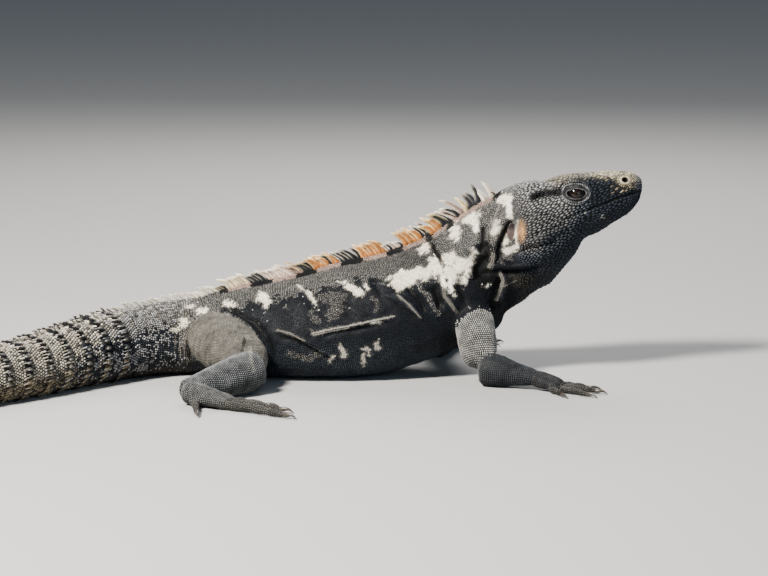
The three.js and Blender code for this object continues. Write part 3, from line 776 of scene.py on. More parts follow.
def lay_scales(name, pattern, spots, up, lie, size, lit, deep, chart, horn, groove=None, slot="dark_scales"):
    """Joins a copy of the pattern at every root into one mesh, with its colours and its map."""
    shape, faces, under, light = pattern
    count, corners = len(spots), len(shape)
    across = np.cross(up, lie)
    if groove is None:
        flat = (lie[:, None] * (shape[None, :, 0:1] * size[:, None, 0:1])
                + across[:, None] * (shape[None, :, 1:2] * size[:, None, 1:2]))
    else:
        angles = np.arctan2(shape[:, 1], shape[:, 0])
        away = 2 * np.hypot(shape[:, 0], shape[:, 1])
        room = room_round(spots, up, lie, angles, size[:, :2].max(1) * 0.72)
        room = np.maximum(room - groove, 0.25) * away
        flat = (lie[:, None] * (np.cos(angles)[None, :] * room)[..., None]
                + across[:, None] * (np.sin(angles)[None, :] * room)[..., None])
    places = spots[:, None] + flat + up[:, None] * (shape[None, :, 2:3] * size[:, None, 2:3])
    places[..., 2] = np.maximum(places[..., 2], 0.02)
    dim, light = np.minimum(light, 0)[None, :, None], np.maximum(light, 0)[None, :, None]
    colours = np.clip(deep[:, None] * (1 + dim) + (lit - deep)[:, None] * light, 0.002, 0.95)
    ends = np.concatenate([[0], np.cumsum([len(f) for f in faces])])
    loops = np.concatenate([np.array(f) for f in faces])
    # every scale has its own small patch of the map, with its underside beside its top
    beside = np.concatenate([np.full(len(f), 1.15 if low else 0) for f, low in zip(faces, under)])
    map_in = shape[loops, :2] + 0.5 + np.stack([beside, 0 * beside], 1)
    patches = 0.004 + 0.99 * chart[:, None] + 0.003 * map_in[None]
    copies = np.arange(count)[:, None]
    mesh = bpy.data.meshes.new(name)
    mesh.vertices.add(count * corners)
    mesh.vertices.foreach_set("co", metres(places).ravel())
    mesh.loops.add(count * len(loops))
    mesh.loops.foreach_set("vertex_index", (loops[None] + copies * corners).ravel())
    mesh.polygons.add(count * len(faces))
    mesh.polygons.foreach_set("loop_start", (ends[None, :-1] + copies * len(loops)).ravel())
    mesh.polygons.foreach_set("use_smooth", np.ones(count * len(faces), bool))
    mesh.update(calc_edges=True)
    paint(mesh, colours.reshape(-1, 3))
    mesh.uv_layers.new(name="OFBake").data.foreach_set("uv", patches.ravel())
    mesh.materials.append(horn)
    piece = bpy.data.objects.new(name, mesh)
    bpy.context.scene.collection.objects.link(piece)
    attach(piece, "root")


def node_tree(name):
    material = bpy.data.materials.new(name)
    material.use_nodes = True
    return material, material.node_tree, material.node_tree.nodes["Principled BSDF"]


def grain_of(tree, size, detail=3.0):
    """Noise with features of that size in millimetres, from 0 to 1."""
    where = tree.nodes.new("ShaderNodeTexCoord")
    noise = tree.nodes.new("ShaderNodeTexNoise")
    noise.inputs["Scale"].default_value = 1000 / size
    noise.inputs["Detail"].default_value = detail
    tree.links.new(where.outputs["Object"], noise.inputs["Vector"])
    return noise.outputs["Fac"]


def spread(tree, value, low, high):
    """Grain spread between two values."""
    between = tree.nodes.new("ShaderNodeMapRange")
    for key, number in (("From Min", 0.3), ("From Max", 0.7), ("To Min", low), ("To Max", high)):
        between.inputs[key].default_value = number
    tree.links.new(value, between.inputs["Value"])
    return between.outputs["Result"]


def horny_finish(name, rough, blotch=2.2, fine=0.35, shade=(0.72, 1.25), relief=0.1, warm=(1.0, 0.93, 0.84),
                 gloss=0.17):
    """Horn or skin that shows its painted tone, with fine grain, blotches and wear."""
    material, tree, shader = node_tree(name)
    painted = tree.nodes.new("ShaderNodeAttribute")
    painted.attribute_name = "tone"
    stain = tree.nodes.new("ShaderNodeMix")
    stain.data_type, stain.blend_type = "RGBA", "MULTIPLY"
    stain.inputs["B"].default_value = (*warm, 1)
    tree.links.new(spread(tree, grain_of(tree, 5.0), 0.0, 0.8), stain.inputs["Factor"])
    tree.links.new(painted.outputs["Color"], stain.inputs["A"])
    both = tree.nodes.new("ShaderNodeMath")
    both.operation = "MULTIPLY"
    tree.links.new(spread(tree, grain_of(tree, blotch), *shade), both.inputs[0])
    tree.links.new(spread(tree, grain_of(tree, fine, 4.0), 0.82, 1.18), both.inputs[1])
    scaled = tree.nodes.new("ShaderNodeVectorMath")
    scaled.operation = "SCALE"
    tree.links.new(stain.outputs["Result"], scaled.inputs[0])
    tree.links.new(both.outputs[0], scaled.inputs["Scale"])
    tree.links.new(scaled.outputs["Vector"], shader.inputs["Base Color"])
    tree.links.new(spread(tree, grain_of(tree, blotch * 0.7), *rough), shader.inputs["Roughness"])
    bump = tree.nodes.new("ShaderNodeBump")
    bump.inputs["Strength"].default_value = 0.6
    bump.inputs["Distance"].default_value = relief / 1000
    tree.links.new(grain_of(tree, fine * 1.4, 4.0), bump.inputs["Height"])
    tree.links.new(bump.outputs["Normal"], shader.inputs["Normal"])
    shader.inputs["Specular IOR Level"].default_value = gloss
    return material


def eye_share(spots):
    """Distance from the eye's middle in the side view; 1 at the outer ring of the lids."""
    return np.hypot((spots[:, 0] - EYE_CENTRE[0]) / 10.2, (spots[:, 2] - EYE_CENTRE[2] - 0.8) / 7.0)


# the parting of the lips
MOUTH = [(186, 133.5), (184, 133), (177, 131), (169, 129), (158, 125), (146, 121), (136, 118), (129.5, 115)]


def open_skin(spots):
    """False in the eye, nostril and ear, where no scale grows."""
    flat = spots[:, [0, 2]]
    eye = eye_share(spots) > 1.0
    nostril = np.linalg.norm(flat - NOSTRIL, axis=1) > 3.8
    ear = np.hypot((flat[:, 0] - EAR[0]) / 3.0, (flat[:, 1] - EAR[1]) / 7.2) > 1
    side = np.abs(spots[:, 1]) > 5
    return (eye & nostril & ear | ~side) & (spots[:, 2] > 0.7)


# ---- the coat: colours --------------------------------------------------------------
# Black flanks, a warm grey back, cream blotches at the nape, shoulder and hips, and pale
# scales on the head. Each scale is one tone, darker at its root, and is painted before it
# is laid.
# the blue cast of BLACK is painted reflection of the sky on the black flank
BLACK, GREY = np.array([0.003, 0.0042, 0.0065]), np.array([0.060, 0.057, 0.052])
CREAM, TAN = np.array([0.93, 0.87, 0.72]), np.array([0.50, 0.40, 0.22])
ORANGE, INK = np.array([0.43, 0.165, 0.040]), np.array([0.012, 0.013, 0.015])
PALE_HORN, OLD_IVORY = np.array([0.80, 0.62, 0.33]), np.array([0.82, 0.75, 0.62])
PINK = np.array([0.46, 0.33, 0.27])
# SKYLIT_SHADE is painted shade: the bluish sky light on the shaded lower flank
SKYLIT_SHADE, EARTH = np.array([0.020, 0.0245, 0.030]), np.array([0.05, 0.042, 0.034])
# SKY_GLINT is a painted glint of reflected blue sky, added to the scales' lit colour
SKY_GLINT, FLECK = np.array([0.0075, 0.010, 0.0145]), np.array([0.56, 0.565, 0.57])
# ASH_AND_HIGHLIGHT is the pale grey of the fold crests, partly the skin's grey and partly painted highlight
# CREASE_SHADOW is painted shadow for the deep creases and hollows
ASH_AND_HIGHLIGHT, CREASE_SHADOW = np.array([0.17, 0.16, 0.145]), np.array([0.006, 0.006, 0.008])
SKYLIT_CHIN_SHADE, LID_SHADOW = np.array([0.029, 0.037, 0.049]), np.array([0.010, 0.010, 0.011])
OLD_SAND, BRIGHT_SAND = np.array([0.22, 0.195, 0.155]), np.array([0.56, 0.50, 0.36])
NOSTRIL_SAND, SNOUT_TIP = np.array([0.40, 0.335, 0.215]), np.array([0.13, 0.14, 0.165])
PALE_SCALE, EAR_SKIN = np.array([0.2, 0.21, 0.2]), np.array([0.39, 0.215, 0.09])
THROAT_DARK, THROAT_TAN = np.array([0.036, 0.042, 0.052]), np.array([0.13, 0.115, 0.085])
SKY_SHADOW_TINT, SUNLIT_TINT = np.array([0.72, 0.98, 1.38]), np.array([1, 0.975, 0.95])
# groups of crest spines from the front: where each begins, its spines' spacing, height, width and backward
# lean in degrees, their own colour, their rims' colour, which also carries the painted highlight on the rims,
# and the share of black ones
CREST_GROUPS = [
    (84, 1.9, 4.0, 1.8, 0, INK, PALE_HORN * 0.5, 0.6),
    (78.5, 5.4, 12.0, 5.4, -14, OLD_IVORY * 0.9, OLD_IVORY, 0.0),
    (73, 3.0, 13.5, 6.0, -26, INK * 2.5, OLD_IVORY * 0.42, 0.45),
    (62, 3.0, 11.0, 4.8, -12, PALE_HORN * 0.7, PALE_HORN, 0.25),
    (57.5, 3.3, 17.0, 4.8, 16, PINK * 0.9, OLD_IVORY, 0.3),
    (50, 2.6, 15.0, 3.6, 24, INK * 2, OLD_IVORY * 0.8, 1.0),
    (45, 3.1, 13.0, 6.2, 4, ORANGE, PALE_HORN, 0.05),
    (35, 2.6, 13.0, 3.8, 14, INK * 2, OLD_IVORY * 0.8, 1.0),
    (29.5, 3.4, 12.4, 6.4, 0, ORANGE * 1.1, PALE_HORN, 0.0),
    (14, 2.5, 6.5, 3.6, 4, PINK, OLD_IVORY, 0.5),
    (1.5, 2.5, 11.6, 6.0, 10, ORANGE * 1.15, PALE_HORN, 0.0),
    (-15, 3.1, 12.0, 4.2, 26, INK, OLD_IVORY * 0.7, 1.0),
    (-30.5, 2.3, 10.8, 5.6, 16, ORANGE * 1.05, PALE_HORN, 0.04),
    (-48, 2.7, 11.6, 4.8, 30, INK * 1.5, PALE_HORN * 0.7, 0.9),
    (-56, 2.6, 11.6, 4.8, 28, PINK * 0.5, PALE_HORN * 0.8, 0.5),
    (-63, 2.5, 11.0, 5.6, 24, PINK * 1.15, OLD_IVORY, 0.05),
    (-80, 2.8, 10.8, 4.6, 30, INK, OLD_IVORY * 0.65, 1.0),
    (-96, 2.8, 9.6, 5.4, 18, OLD_IVORY * (0.66, 0.58, 0.44), OLD_IVORY, 0.05),
    (-112, 3.0, 5.0, 3.2, 26, INK * 4, PALE_HORN * 0.7, 0.5),
    (-119, 3.6, 7.4, 3.2, 24, OLD_IVORY * 0.8, OLD_IVORY, 0.05),
    (-135, 4.6, 7.0, 3.0, 28, OLD_IVORY * 0.75, OLD_IVORY, 0.05),
    (-160, 4.9, 6.6, 3.0, 30, OLD_IVORY * 0.7, OLD_IVORY, 0.05),
    (-185, 4.9, 6.0, 2.9, 30, OLD_IVORY * 0.6, OLD_IVORY, 0.1),
    (-205, 4.6, 5.2, 2.7, 30, OLD_IVORY * 0.5, OLD_IVORY, 0.15),
]
crest_starts = np.array([group[0] for group in CREST_GROUPS], float)


def crest_group(x):
    """Which group of crest spines stands at each place along the back."""
    found = np.searchsorted(-crest_starts, -np.asarray(x, float), side="right") - 1
    return np.clip(found, 0, len(CREST_GROUPS) - 1)


# where the grey of the back meets the black of the flank
BACK_EDGE = [(-200, 30), (-166, 37), (-144, 39), (-129, 44), (-107, 51), (-92, 54.5), (-74, 57), (-52, 60.5),
             (-39, 66), (-17, 70), (4, 71), (16, 68), (35, 70), (58, 73), (72, 84), (80, 84), (100, 90),
             (190, 110)]
# cream patches as ovals: place, half length, half height and lean in degrees
CREAM_PATCHES = [
    # the broad patch over the shoulder
    (13, 72, 9, 6, 20), (28, 77, 9, 4.5, 10), (38, 81, 7, 6.5, 0), (47, 76, 7, 5, -35),
    (46, 86, 6, 4.5, 20), (56, 81, 8, 6, 0), (64, 87, 8, 4, 50), (55, 73, 5, 3, -60),
    (42, 72, 5, 2, -75), (47, 68, 5.5, 1.7, -73),
    # under the crest, on the neck, behind the head and round the ear
    (29, 92, 5, 2.4, 30), (50.5, 103.5, 4.8, 3.6, 60), (62, 113.5, 6, 2.8, 30), (65, 110, 5, 2.2, 90),
    (86.5, 127, 5.2, 3.8, 10), (89, 119.5, 6.5, 2.0, 95), (79.5, 107.5, 6, 2.8, 80),
    (87.5, 99, 6, 1.7, 75), (88, 92, 3.6, 2.8, 0), (93, 94, 3.8, 2.0, 40),
    # small ones along the edge of the grey back, from the hips to the shoulder
    (-148.8, 35.2, 3, 1.8, 0), (-142.5, 39.5, 3.6, 2.8, 0), (-138, 49.3, 3, 1.1, 0), (-129, 47.8, 4, 1.6, 10),
    (-110, 52.8, 4, 2.4, 0), (-85.5, 57.2, 5.5, 2.6, -25), (-84, 54.5, 3, 1.8, 90), (-51, 59, 5.6, 1.4, -50),
    (-22, 65.5, 7.5, 2.0, -25), (-17, 63, 2.8, 2.4, 0), (-12.3, 67.3, 2.4, 1.2, -60),
    # drips low on the flank
    (-12, 24.5, 2.9, 2.4, 0), (-14.3, 19, 6, 1.3, 85), (-10.6, 22, 3, 1.2, 90), (-5, 29, 4.2, 1.3, 60),
    (-4.5, 26, 2.8, 1.3, 0), (-29, 23, 5.8, 1.7, -75), (-36.8, 18, 3.8, 1.3, 50), (-7, 44, 3.6, 1.6, 5),
]
# cream, grey and dark streaks, each a line and its half width
CREAM_MARKS = [
    ([(-62, 66), (-54.7, 62.5)], 0.45),
    ([(-34, 69.6), (-28, 69.2)], 0.4),
    ([(69, 68.6), (70, 68)], 0.7),
    ([(72, 66.8), (76, 68.6)], 0.6),
    ([(50, 61.6), (51.4, 61)], 0.7),
    ([(85.6, 99), (87, 104)], 0.6),
    ([(94, 98), (93.6, 106), (94.6, 113)], 0.7),
    ([(98, 92), (93, 91.5)], 0.8),
]
# pale grey streaks on the fold crests and straps, partly the skin's own grey and partly painted highlight
# where the crests catch the light
GREY_AND_HIGHLIGHT_MARKS = [
    # over the straps of the shoulder and the flank
    ([(23.5, 71), (27, 66), (31, 62), (34, 56), (38, 48.5)], 1.9),
    ([(-42, 59), (-30, 60), (-34, 52), (-37, 48)], 4.0),
    ([(-66, 22), (-54, 18), (-44, 22)], 2.6),
    ([(-8, 60), (-4, 56), (-6, 51)], 1.6),
    ([(-52, 50), (-46, 44)], 2.2),
    # on the neck and throat
    ([(76.5, 98), (77, 91), (76.5, 84), (75, 80)], 2.3),
    ([(90.9, 75), (97, 73), (100, 66)], 2.4),
    ([(82.5, 121), (80, 116)], 1.5),
    ([(77, 101), (78, 108)], 2.6),
    # on the short folds behind the thigh
    ([(-141.0, 34), (-141.8, 22), (-141, 10)], 0.9),
    ([(-144.6, 33), (-145.2, 21), (-144, 11)], 0.8),
    ([(-148, 31), (-149, 22)], 0.7),
]
# painted shadow in the deep creases and hollows of the neck and shoulder
CREASE_SHADOW_MARKS = [
    ([(32, 96), (37.0, 90.4), (42.5, 82)], 1.5),
    ([(70.9, 91), (68, 78), (72, 68)], 6.0),
    ([(80, 74), (80, 60)], 3.0),
    ([(28, 80), (31, 82)], 1.2),
    ([(54, 76), (57, 78)], 1.2),
]


def marked(spots, marks, seed):
    """1 inside the marks, 0 outside, with ragged edges a scale wide."""
    flat = spots[:, [0, 2]]
    ragged = mottle(spots, 6, seed) + 0.8 * mottle(spots, 2.6, seed + 1)
    inside = np.zeros(len(spots))
    for line, half in marks:
        line = np.asarray(line, float)
        low, high = line.min(0) - 2 * half - 1, line.max(0) + 2 * half + 1
        near = np.flatnonzero(((flat > low) & (flat < high)).all(1))
        away = from_line(line, flat[near])[0]
        depth = (half * (1 + 0.2 * ragged[near]) - away) / 0.5
        inside[near] = np.maximum(inside[near], smooth_step(depth + 0.5))
    return inside


def patched(spots, ovals, seed):
    """1 inside the ovals, 0 outside, with uneven, ragged edges."""
    flat = spots[:, [0, 2]]
    ragged = mottle(spots, 5, seed) + 0.8 * mottle(spots, 2.2, seed + 1)
    inside = np.zeros(len(spots))
    for x, z, half_long, half_high, lean in ovals:
        ca, sa = math.cos(math.radians(lean)), math.sin(math.radians(lean))
        along = (flat - (x, z)) @ (ca, sa)
        over = (flat - (x, z)) @ (-sa, ca)
        small = min(half_long, half_high)
        edge = (1 - np.hypot(along / half_long, over / half_high)) * small
        inside = np.maximum(inside, smooth_step((edge + (0.2 + 0.16 * small) * ragged) / 0.5 + 0.5))
    return inside


def mix(a, b, share):
    return a + (b - a) * np.asarray(share)[:, None]


def body_tones(spots, up, rng):
    """Lit and root colours of scales on the head, neck, trunk and tail base."""
    x, _, z = spots.T
    count = len(spots)
    cloud, fleck = mottle(spots, 16, 3), rng.random(count)
    # the grey back over the black flank
    edge = np.interp(x, *np.array(BACK_EDGE).T)
    ragged = 2.2 * cloud + 2.4 * mottle(spots, 5, 4) + 3 * (fleck - 0.5)
    back = smooth_step((z - edge + ragged) / 2.6 + 0.5)
    rim = 0.55 * np.exp(-((z - edge - 3) / 7) ** 2) * short_of(x, 40, 25)
    grey = GREY * (1.28 + 0.12 * cloud + rim + 1.2 * past(x, 25, 25))[:, None]
    tone = mix(np.tile(BLACK, (count, 1)), grey, back)
    # painted shade: the lower flank turns lighter and bluish, as if lit by the sky in shadow
    skylit_low_flank = short_of(z, 40, 24) * (x < 40)
    tone = mix(tone, SKYLIT_SHADE, skylit_low_flank * 0.85)
    tone = mix(tone, EARTH, short_of(x, -128, 20) * short_of(z, 12, 10))
    tone = tone * (0.55 + 0.95 * fleck)[:, None]
    # every scale gets a painted glint of reflected sky, of random strength
    lit = tone * 1.5 + SKY_GLINT * (0.15 + 1.3 * rng.random((count, 1)) ** 2)
    # flecks along the upper flank, at the hips and over the tail base
    hips = short_of(x, -124, 50) * past(z, 2, 10)
    along_back = (z > edge - 18) & (z < edge + 1) & (x < -20)
    fleck_chance = 0.03 * along_back + hips * (0.5 + 0.3 * mottle(spots, 9, 61) + 0.25 * up[:, 2])
    chosen = rng.random(count) < fleck_chance
    cream = np.maximum(marked(spots, CREAM_MARKS, 11), patched(spots, CREAM_PATCHES, 13))
    lit = mix(lit, FLECK * (0.35 + 0.65 * rng.random((count, 1))), chosen * 0.9)
    # grey streaks, partly painted highlight on the fold crests, cream patches, and painted shadow in the deep
    # creases and hollows
    ashen = rng.random(count) < 0.6 + 0.25 * mottle(spots, 3.5, 8)
    lit = mix(lit, ASH_AND_HIGHLIGHT, marked(spots, GREY_AND_HIGHLIGHT_MARKS, 5) * (0.35 + 0.65 * ashen))
    dull = 0.55 + 0.45 * past(z, 30, 12)
    dull = dull * (1 - 0.4 * past(x, 74, 3) * (x < 84) * (z < 114))
    lit = mix(lit, CREAM * (0.98 + 0.2 * rng.random((count, 1))) * dull[:, None], cream)
    dark = marked(spots, CREASE_SHADOW_MARKS, 9) * (1 - (cream > 0.6) * (z < 70))
    lit = mix(lit, CREASE_SHADOW, dark * 0.95)
    # painted shade in the creases of the folds and painted highlight on their crests
    fold = fold_height(spots, up)
    lit = lit * ((1 - 0.86 * smooth_step(-fold / 2.0)) * (1 + 0.7 * smooth_step(fold / 1.8)))[:, None]
    deep = mix(lit * 0.05, lit * 0.6, cream)
    lit, deep = crest_foot_tones(spots, up, rng, lit, deep)
    lit, deep = head_tones(spots, rng, lit, deep, cream)
    return throat_tones(spots, rng, lit, deep, cream)


def crest_foot_tones(spots, up, rng, lit, deep):
    """The skin that the crest stands on: pale pink under orange spines, black under black ones."""
    x, y, _ = spots.T
    off = np.abs(y - ridge_middle(spots)) + 0.7 * mottle(spots, 3, 51)
    black_foot = np.array([entry[7] > 0.45 for entry in CREST_GROUPS])[crest_group(x)]
    foot = smooth_step((np.where(black_foot, 6.4, 4.8) - off) / 1.2)
    foot = foot * (up[:, 2] > 0.2) * (x > -118) * (x < 84)
    pink = PINK * (0.6 + 0.6 * rng.random((len(spots), 1)))
    foot_tone = np.where(black_foot[:, None], INK * 0.6, pink)
    return mix(lit, foot_tone, foot), mix(deep, foot_tone * 0.35, foot)


def head_tones(spots, rng, lit, deep, cream):
    """Charcoal scales with pale crowns, sandy on top of the snout and round the nostril."""
    x, y, z = spots.T
    flat = spots[:, [0, 2]]
    count = len(spots)
    head = smooth_step((x - 84 - 0.15 * (125 - z)) / 6) * (z > 60)
    # the cheek's pale scales are partly their own colour and partly painted highlight where the light falls
    # on the side of the head
    cheek = short_of(x, 152, 22) * smooth_step((z - 80 - 0.35 * np.clip(x - 110, 0, 50)) / 16)
    pale = (0.014 + 0.185 * cheek * (0.45 + 0.55 * rng.random(count)) + 0.014 * rng.random(count))[:, None]
    # painted highlight: the upper side of the head behind the eye is lighter
    pale = pale * (1 + 1.0 * past(z, 116, 12) * short_of(x, 138, 12))[:, None]
    # painted light: a cool bluish tint where the head is in shade, a warm one on the lit cheek
    pale = pale * mix(np.tile(SKY_SHADOW_TINT, (count, 1)), SUNLIT_TINT, cheek)
    # painted shade: dark and bluish under the jaw, as if lit only by the sky
    shaded_chin = smooth_step((118 + 0.42 * (x - 136) - z) / 8) * past(x, 104, 16)
    pale = mix(pale, SKYLIT_CHIN_SHADE, shaded_chin * 0.85)
    behind_eye = from_line([(106, 129.5), (112, 131), (118, 132), (126, 133)], flat)[0]
    pale = mix(pale, LID_SHADOW, smooth_step(1.4 - behind_eye / 3.0) * (np.abs(y) > 9))
    # sand on the crown
    top = np.interp(x, [105, 122, 138, 150, 165, 180], [141, 137, 142, 142.2, 140.8, 138])
    crown = smooth_step((z - top + 1.4 + 1.2 * mottle(spots, 4, 35)) / 3.4) * past(x, 104, 14)
    sandy = mix(OLD_SAND + 0 * pale, BRIGHT_SAND, past(x, 141, 14))
    blotched = 0.45 + 0.75 * rng.random(count) - 0.35 * (mottle(spots, 5, 33) > 0.75) * (x > 150)
    pale = mix(pale, sandy * blotched[:, None], crown)
    # sand round the nostril and under it
    lip = np.interp(x, [160, 170, 183], [130.5, 131.0, 134.5])
    under = past(x, 160, 6) * short_of(x, 183, 5) * smooth_step((z - lip) / 2)
    to_nostril = np.linalg.norm(flat - NOSTRIL, axis=1)
    around = np.maximum(short_of(to_nostril, 7.5, 3), under * (rng.random(count) < 0.62))
    sand_tone = NOSTRIL_SAND * (0.25 + 0.8 * rng.random((count, 1)))
    pale = mix(pale, sand_tone, around * (1 - crown) * 0.85)
    tip = past(x, 177, 5) * past(z, 131, 4)
    pale = mix(pale, SNOUT_TIP * (0.5 + rng.random((count, 1))), tip * 0.8)
    # two pale scales of the lower lip
    for mark_x, mark_z in ((142.6, 118.4), (155.1, 114.9)):
        pale = mix(pale, PALE_SCALE, smooth_step(1.9 - np.hypot(x - mark_x, z - mark_z) / 1.3))
    head = head[:, None] * (1 - cream)[:, None]
    lit = lit * (1 - head) + pale * head
    deep = deep * (1 - head) + (pale * (0.06 + 0.24 * crown[:, None])) * head
    return lit, deep


def from_ear_skin(spots):
    """Distance from the middle of the bare skin before the ear; 1 near its edge."""
    return np.hypot((spots[:, 0] - 97.2) / 3.3, (spots[:, 2] - 106.5) / 8.0)


def throat_tones(spots, rng, lit, deep, cream):
    """Bare orange skin before the ear, and brown, pale-specked skin under the throat."""
    x, y, z = spots.T
    count = len(spots)
    bare = smooth_step(1.6 - 1.3 * from_ear_skin(spots)) * (np.abs(y) > 18)
    skin_tone = EAR_SKIN * (1 + 0.25 * mottle(spots, 5, 37))[:, None]
    lit, deep = mix(lit, skin_tone, bare), mix(deep, skin_tone * 0.7, bare)
    speckle = smooth_step((z - 84 - 0.4 * (x - 100)) / -8) * past(x, 88, 8)
    speckle = speckle * (rng.random(count) < 0.5)
    lit = mix(lit, THROAT_DARK, speckle * 0.8 * (1 - cream))
    tan_skin = smooth_step(1.5 - np.hypot((x - 97) / 9, (z - 69) / 6)) * (np.abs(y) > 4) * (1 - cream)
    return mix(lit, THROAT_TAN * (0.3 + rng.random((count, 1))), tan_skin * 0.75), deep


# ---- the coat: head and neck --------------------------------------------------------
# Cobbles of horn: wide and flat on the crown, long on the cheek, jowl and lips, and as fine
# as sand on the throat and neck. Each takes the room its neighbours leave, so they are
# strewn over the skin, thinned and evened out before they are laid.
chance = np.random.default_rng(41)
body_horn = horny_finish("body_scale_horn", (0.5, 0.7), warm=(0.97, 0.96, 0.94), gloss=0.1)
cobble = plate_pattern(8, 0.6, 0.16)
PAVED_END = 13.6
PAVED_MARGIN = 1.3


def cobble_size(spots, up):
    """How far apart the head's and neck's scales are rooted."""
    x, y, z = spots.T
    size = np.interp(x, [35, 75], [1.34, 1.25])
    on_head = smooth_step((x - 84 - 0.12 * (125 - z)) / 8)
    cheek = np.clip(past(x, 88, 8) * short_of(x, 154, 14) * past(z, 84, 8), 0, 1)
    size += 0.14 * cheek
    lore = past(x, 138, 10) * past(z, 118, 8)
    size += on_head * lore * (1 - cheek) * 0.3
    crown = past(up[:, 2], 0.55, 0.3) * past(x, 104, 12) * (z > 130)
    size = size * (1 - crown) + (1.85 + 0.35 * past(x, 145, 15)) * crown
    near_eye = smooth_step((1.55 - eye_share(spots)) / 0.4) * (np.abs(y) > 6)
    size = size * (1 - near_eye) + 1.3 * near_eye
    throat = smooth_step((-up[:, 2] - 0.1) / 0.5)
    return size * (1 - throat) + 1.35 * throat


def side_line_roots(line, offsets, gap, hand):
    """Roots on one side of the head at offsets above and below a line, a gap apart along it."""
    line = np.asarray(line, float)
    run = run_of(line)
    at = np.arange(gap / 2, run[-1], gap)
    middle = along(line, run, at)
    ahead = along(line, run, at + 0.5) - along(line, run, at - 0.5)
    over = unit(np.stack([-ahead[:, 1], ahead[:, 0]], 1))
    found = []
    for offset in offsets:
        found += [side_spot(hide_tree, x, z, hand) for x, z in middle + over * offset]
    return np.array([spot for spot in found if spot is not None])


def ellipse_line(centre, wide, high):
    turn = np.linspace(0, 2 * math.pi, 60)
    return np.stack([centre[0] + wide * np.cos(turn), centre[1] + high * np.sin(turn)], 1)


def squeezed(places):
    """Places with the head drawn in along its grain, so that even scales there are long."""
    share = LONG * past(places[:, 0], 84, 14) * short_of(places[:, 0], 190, 16)
    grain = grain_at(places)
    forward = ((places - np.array([120, 0, 110])) * grain).sum(1)
    return places - (share * forward)[:, None] * grain


EYE_MIDDLE = (EYE_CENTRE[0], EYE_CENTRE[2] + 0.8)
# a grid over the outline, from which each root reads its station and angle
outline_t, outline_a = (grid.ravel() for grid in np.meshgrid(
    np.linspace(0.02, PAVED_END + PAVED_MARGIN, 190),
    np.linspace(0, 2 * math.pi, 150, endpoint=False) + math.pi / 2, indexing="ij"))
outline_tree = tree_of(body_place(outline_t, outline_a))

# sand strewn over the skin, then thinned so that each grain left has room for its scale
quads = np.array([(c + c[-1:])[:4] for c in face_corners])
middles = skin[quads].mean(1)
wanted = np.flatnonzero((middles[:, 0] > 30) & (middles[:, 2] > 22) & (np.abs(middles[:, 1]) < 48))
grains = np.repeat(wanted, chance.poisson(face_areas[wanted] * 4.6))
u, v = chance.random((2, len(grains), 1))
a, b, c, d = (skin[quads[grains, k]] for k in range(4))
sand = (1 - u) * (1 - v) * a + u * (1 - v) * b + u * v * c + (1 - u) * v * d
sand_up = unit(normals[quads[grains]].mean(1))
nearest = [outline_tree.find(place) for place in sand]
on_outline = np.array([found[1] for found in nearest])
away = np.array([found[2] for found in nearest])
ragged_end = PAVED_END + 0.5 * mottle(sand, 6, 77)
paved = (away < 5.2) & (outline_t[on_outline] < ragged_end) & open_skin(sand)
sand, sand_up = sand[paved], sand_up[paved]
room = cobble_size(sand, sand_up)
drawn_in = squeezed(sand)

# the crests of the folds carry rows of their own, lighter than the skin round them as a painted highlight
# where the crests catch the light: each is a line, its rows' offsets from it and its lightness
FOLD_CREST_HIGHLIGHT = np.array([1.0, 0.93, 0.82])
FOLD_ROWS = [
    ([(-51, 36), (-37, 39.5), (-23, 42), (-8, 45), (8, 48)], (0,), 0.42),
    ([(-50, 35), (-37, 38), (-24, 40.5)], (0,), 0.3),
    ([(-76, 38), (-66, 36), (-56, 31)], (0,), 0.25),
    ([(42, 67), (43, 61), (48, 55), (52, 49)], (-0.6, 0.6), 0.2),
    ([(9, 63), (17, 56.5), (26, 46.5)], (0,), 0.24),
    ([(82, 77), (85, 70), (82, 61), (80, 56)], (-0.6, 0.6), 0.26),
    ([(85, 66), (94, 70)], (0,), 0.24),
    ([(74.5, 80), (77, 85), (77.6, 91)], (-0.6, 0.6), 0.22),
    ([(83, 124), (79, 116), (76.5, 110)], (0,), 0.3),
]
fold_spots, fold_lie, fold_lit = [], [], []
for line, offsets, tone in FOLD_ROWS:
    for hand in (-1, 1):
        for offset in offsets:
            row = side_line_roots(line, (offset,), 1.15, hand)
            way = -unit(np.gradient(row, axis=0))
            fold_spots.append(row)
            fold_lie.append(way * np.where(way[:, :1] > 0, -1, 1))
            fold_lit.append(FOLD_CREST_HIGHLIGHT * tone * (0.75 + 0.45 * chance.random((len(row), 1))))
fold_spots, fold_lie, fold_lit = (np.concatenate(rows) for rows in (fold_spots, fold_lie, fold_lit))

# set roots: the lip scales, and the rings round the eye, nostril and ear
rows = [(MOUTH[1:], (1.75, -1.75), 3.0), (ellipse_line(EYE_MIDDLE, 11.1, 7.9), (0,), 1.75),
        (ellipse_line(NOSTRIL, 5.0, 4.4), (0,), 1.7), (ellipse_line(EAR, 4.2, 8.4), (0,), 1.7)]
roots = list(np.concatenate([side_line_roots(*row, hand) for row in rows for hand in (-1, 1)]))
own_roots = len(roots)
roots += list(fold_spots)
set_roots = len(roots)
# the skin is searched in cubes a little wider than the widest gap between roots
CELL = 2.5
cells = {}


def cell_of(place):
    return tuple(int(math.floor(value / CELL)) for value in place)


def is_clear(place, own):
    """True if no root in the cubes round a place is nearer than its own room."""
    x, y, z = place
    i, j, m = cell_of(place)
    for cell in itertools.product((i - 1, i, i + 1), (j - 1, j, j + 1), (m - 1, m, m + 1)):
        for other_x, other_y, other_z in cells.get(cell, ()):
            if (x - other_x) ** 2 + (y - other_y) ** 2 + (z - other_z) ** 2 < own * own:
                return False
    return True


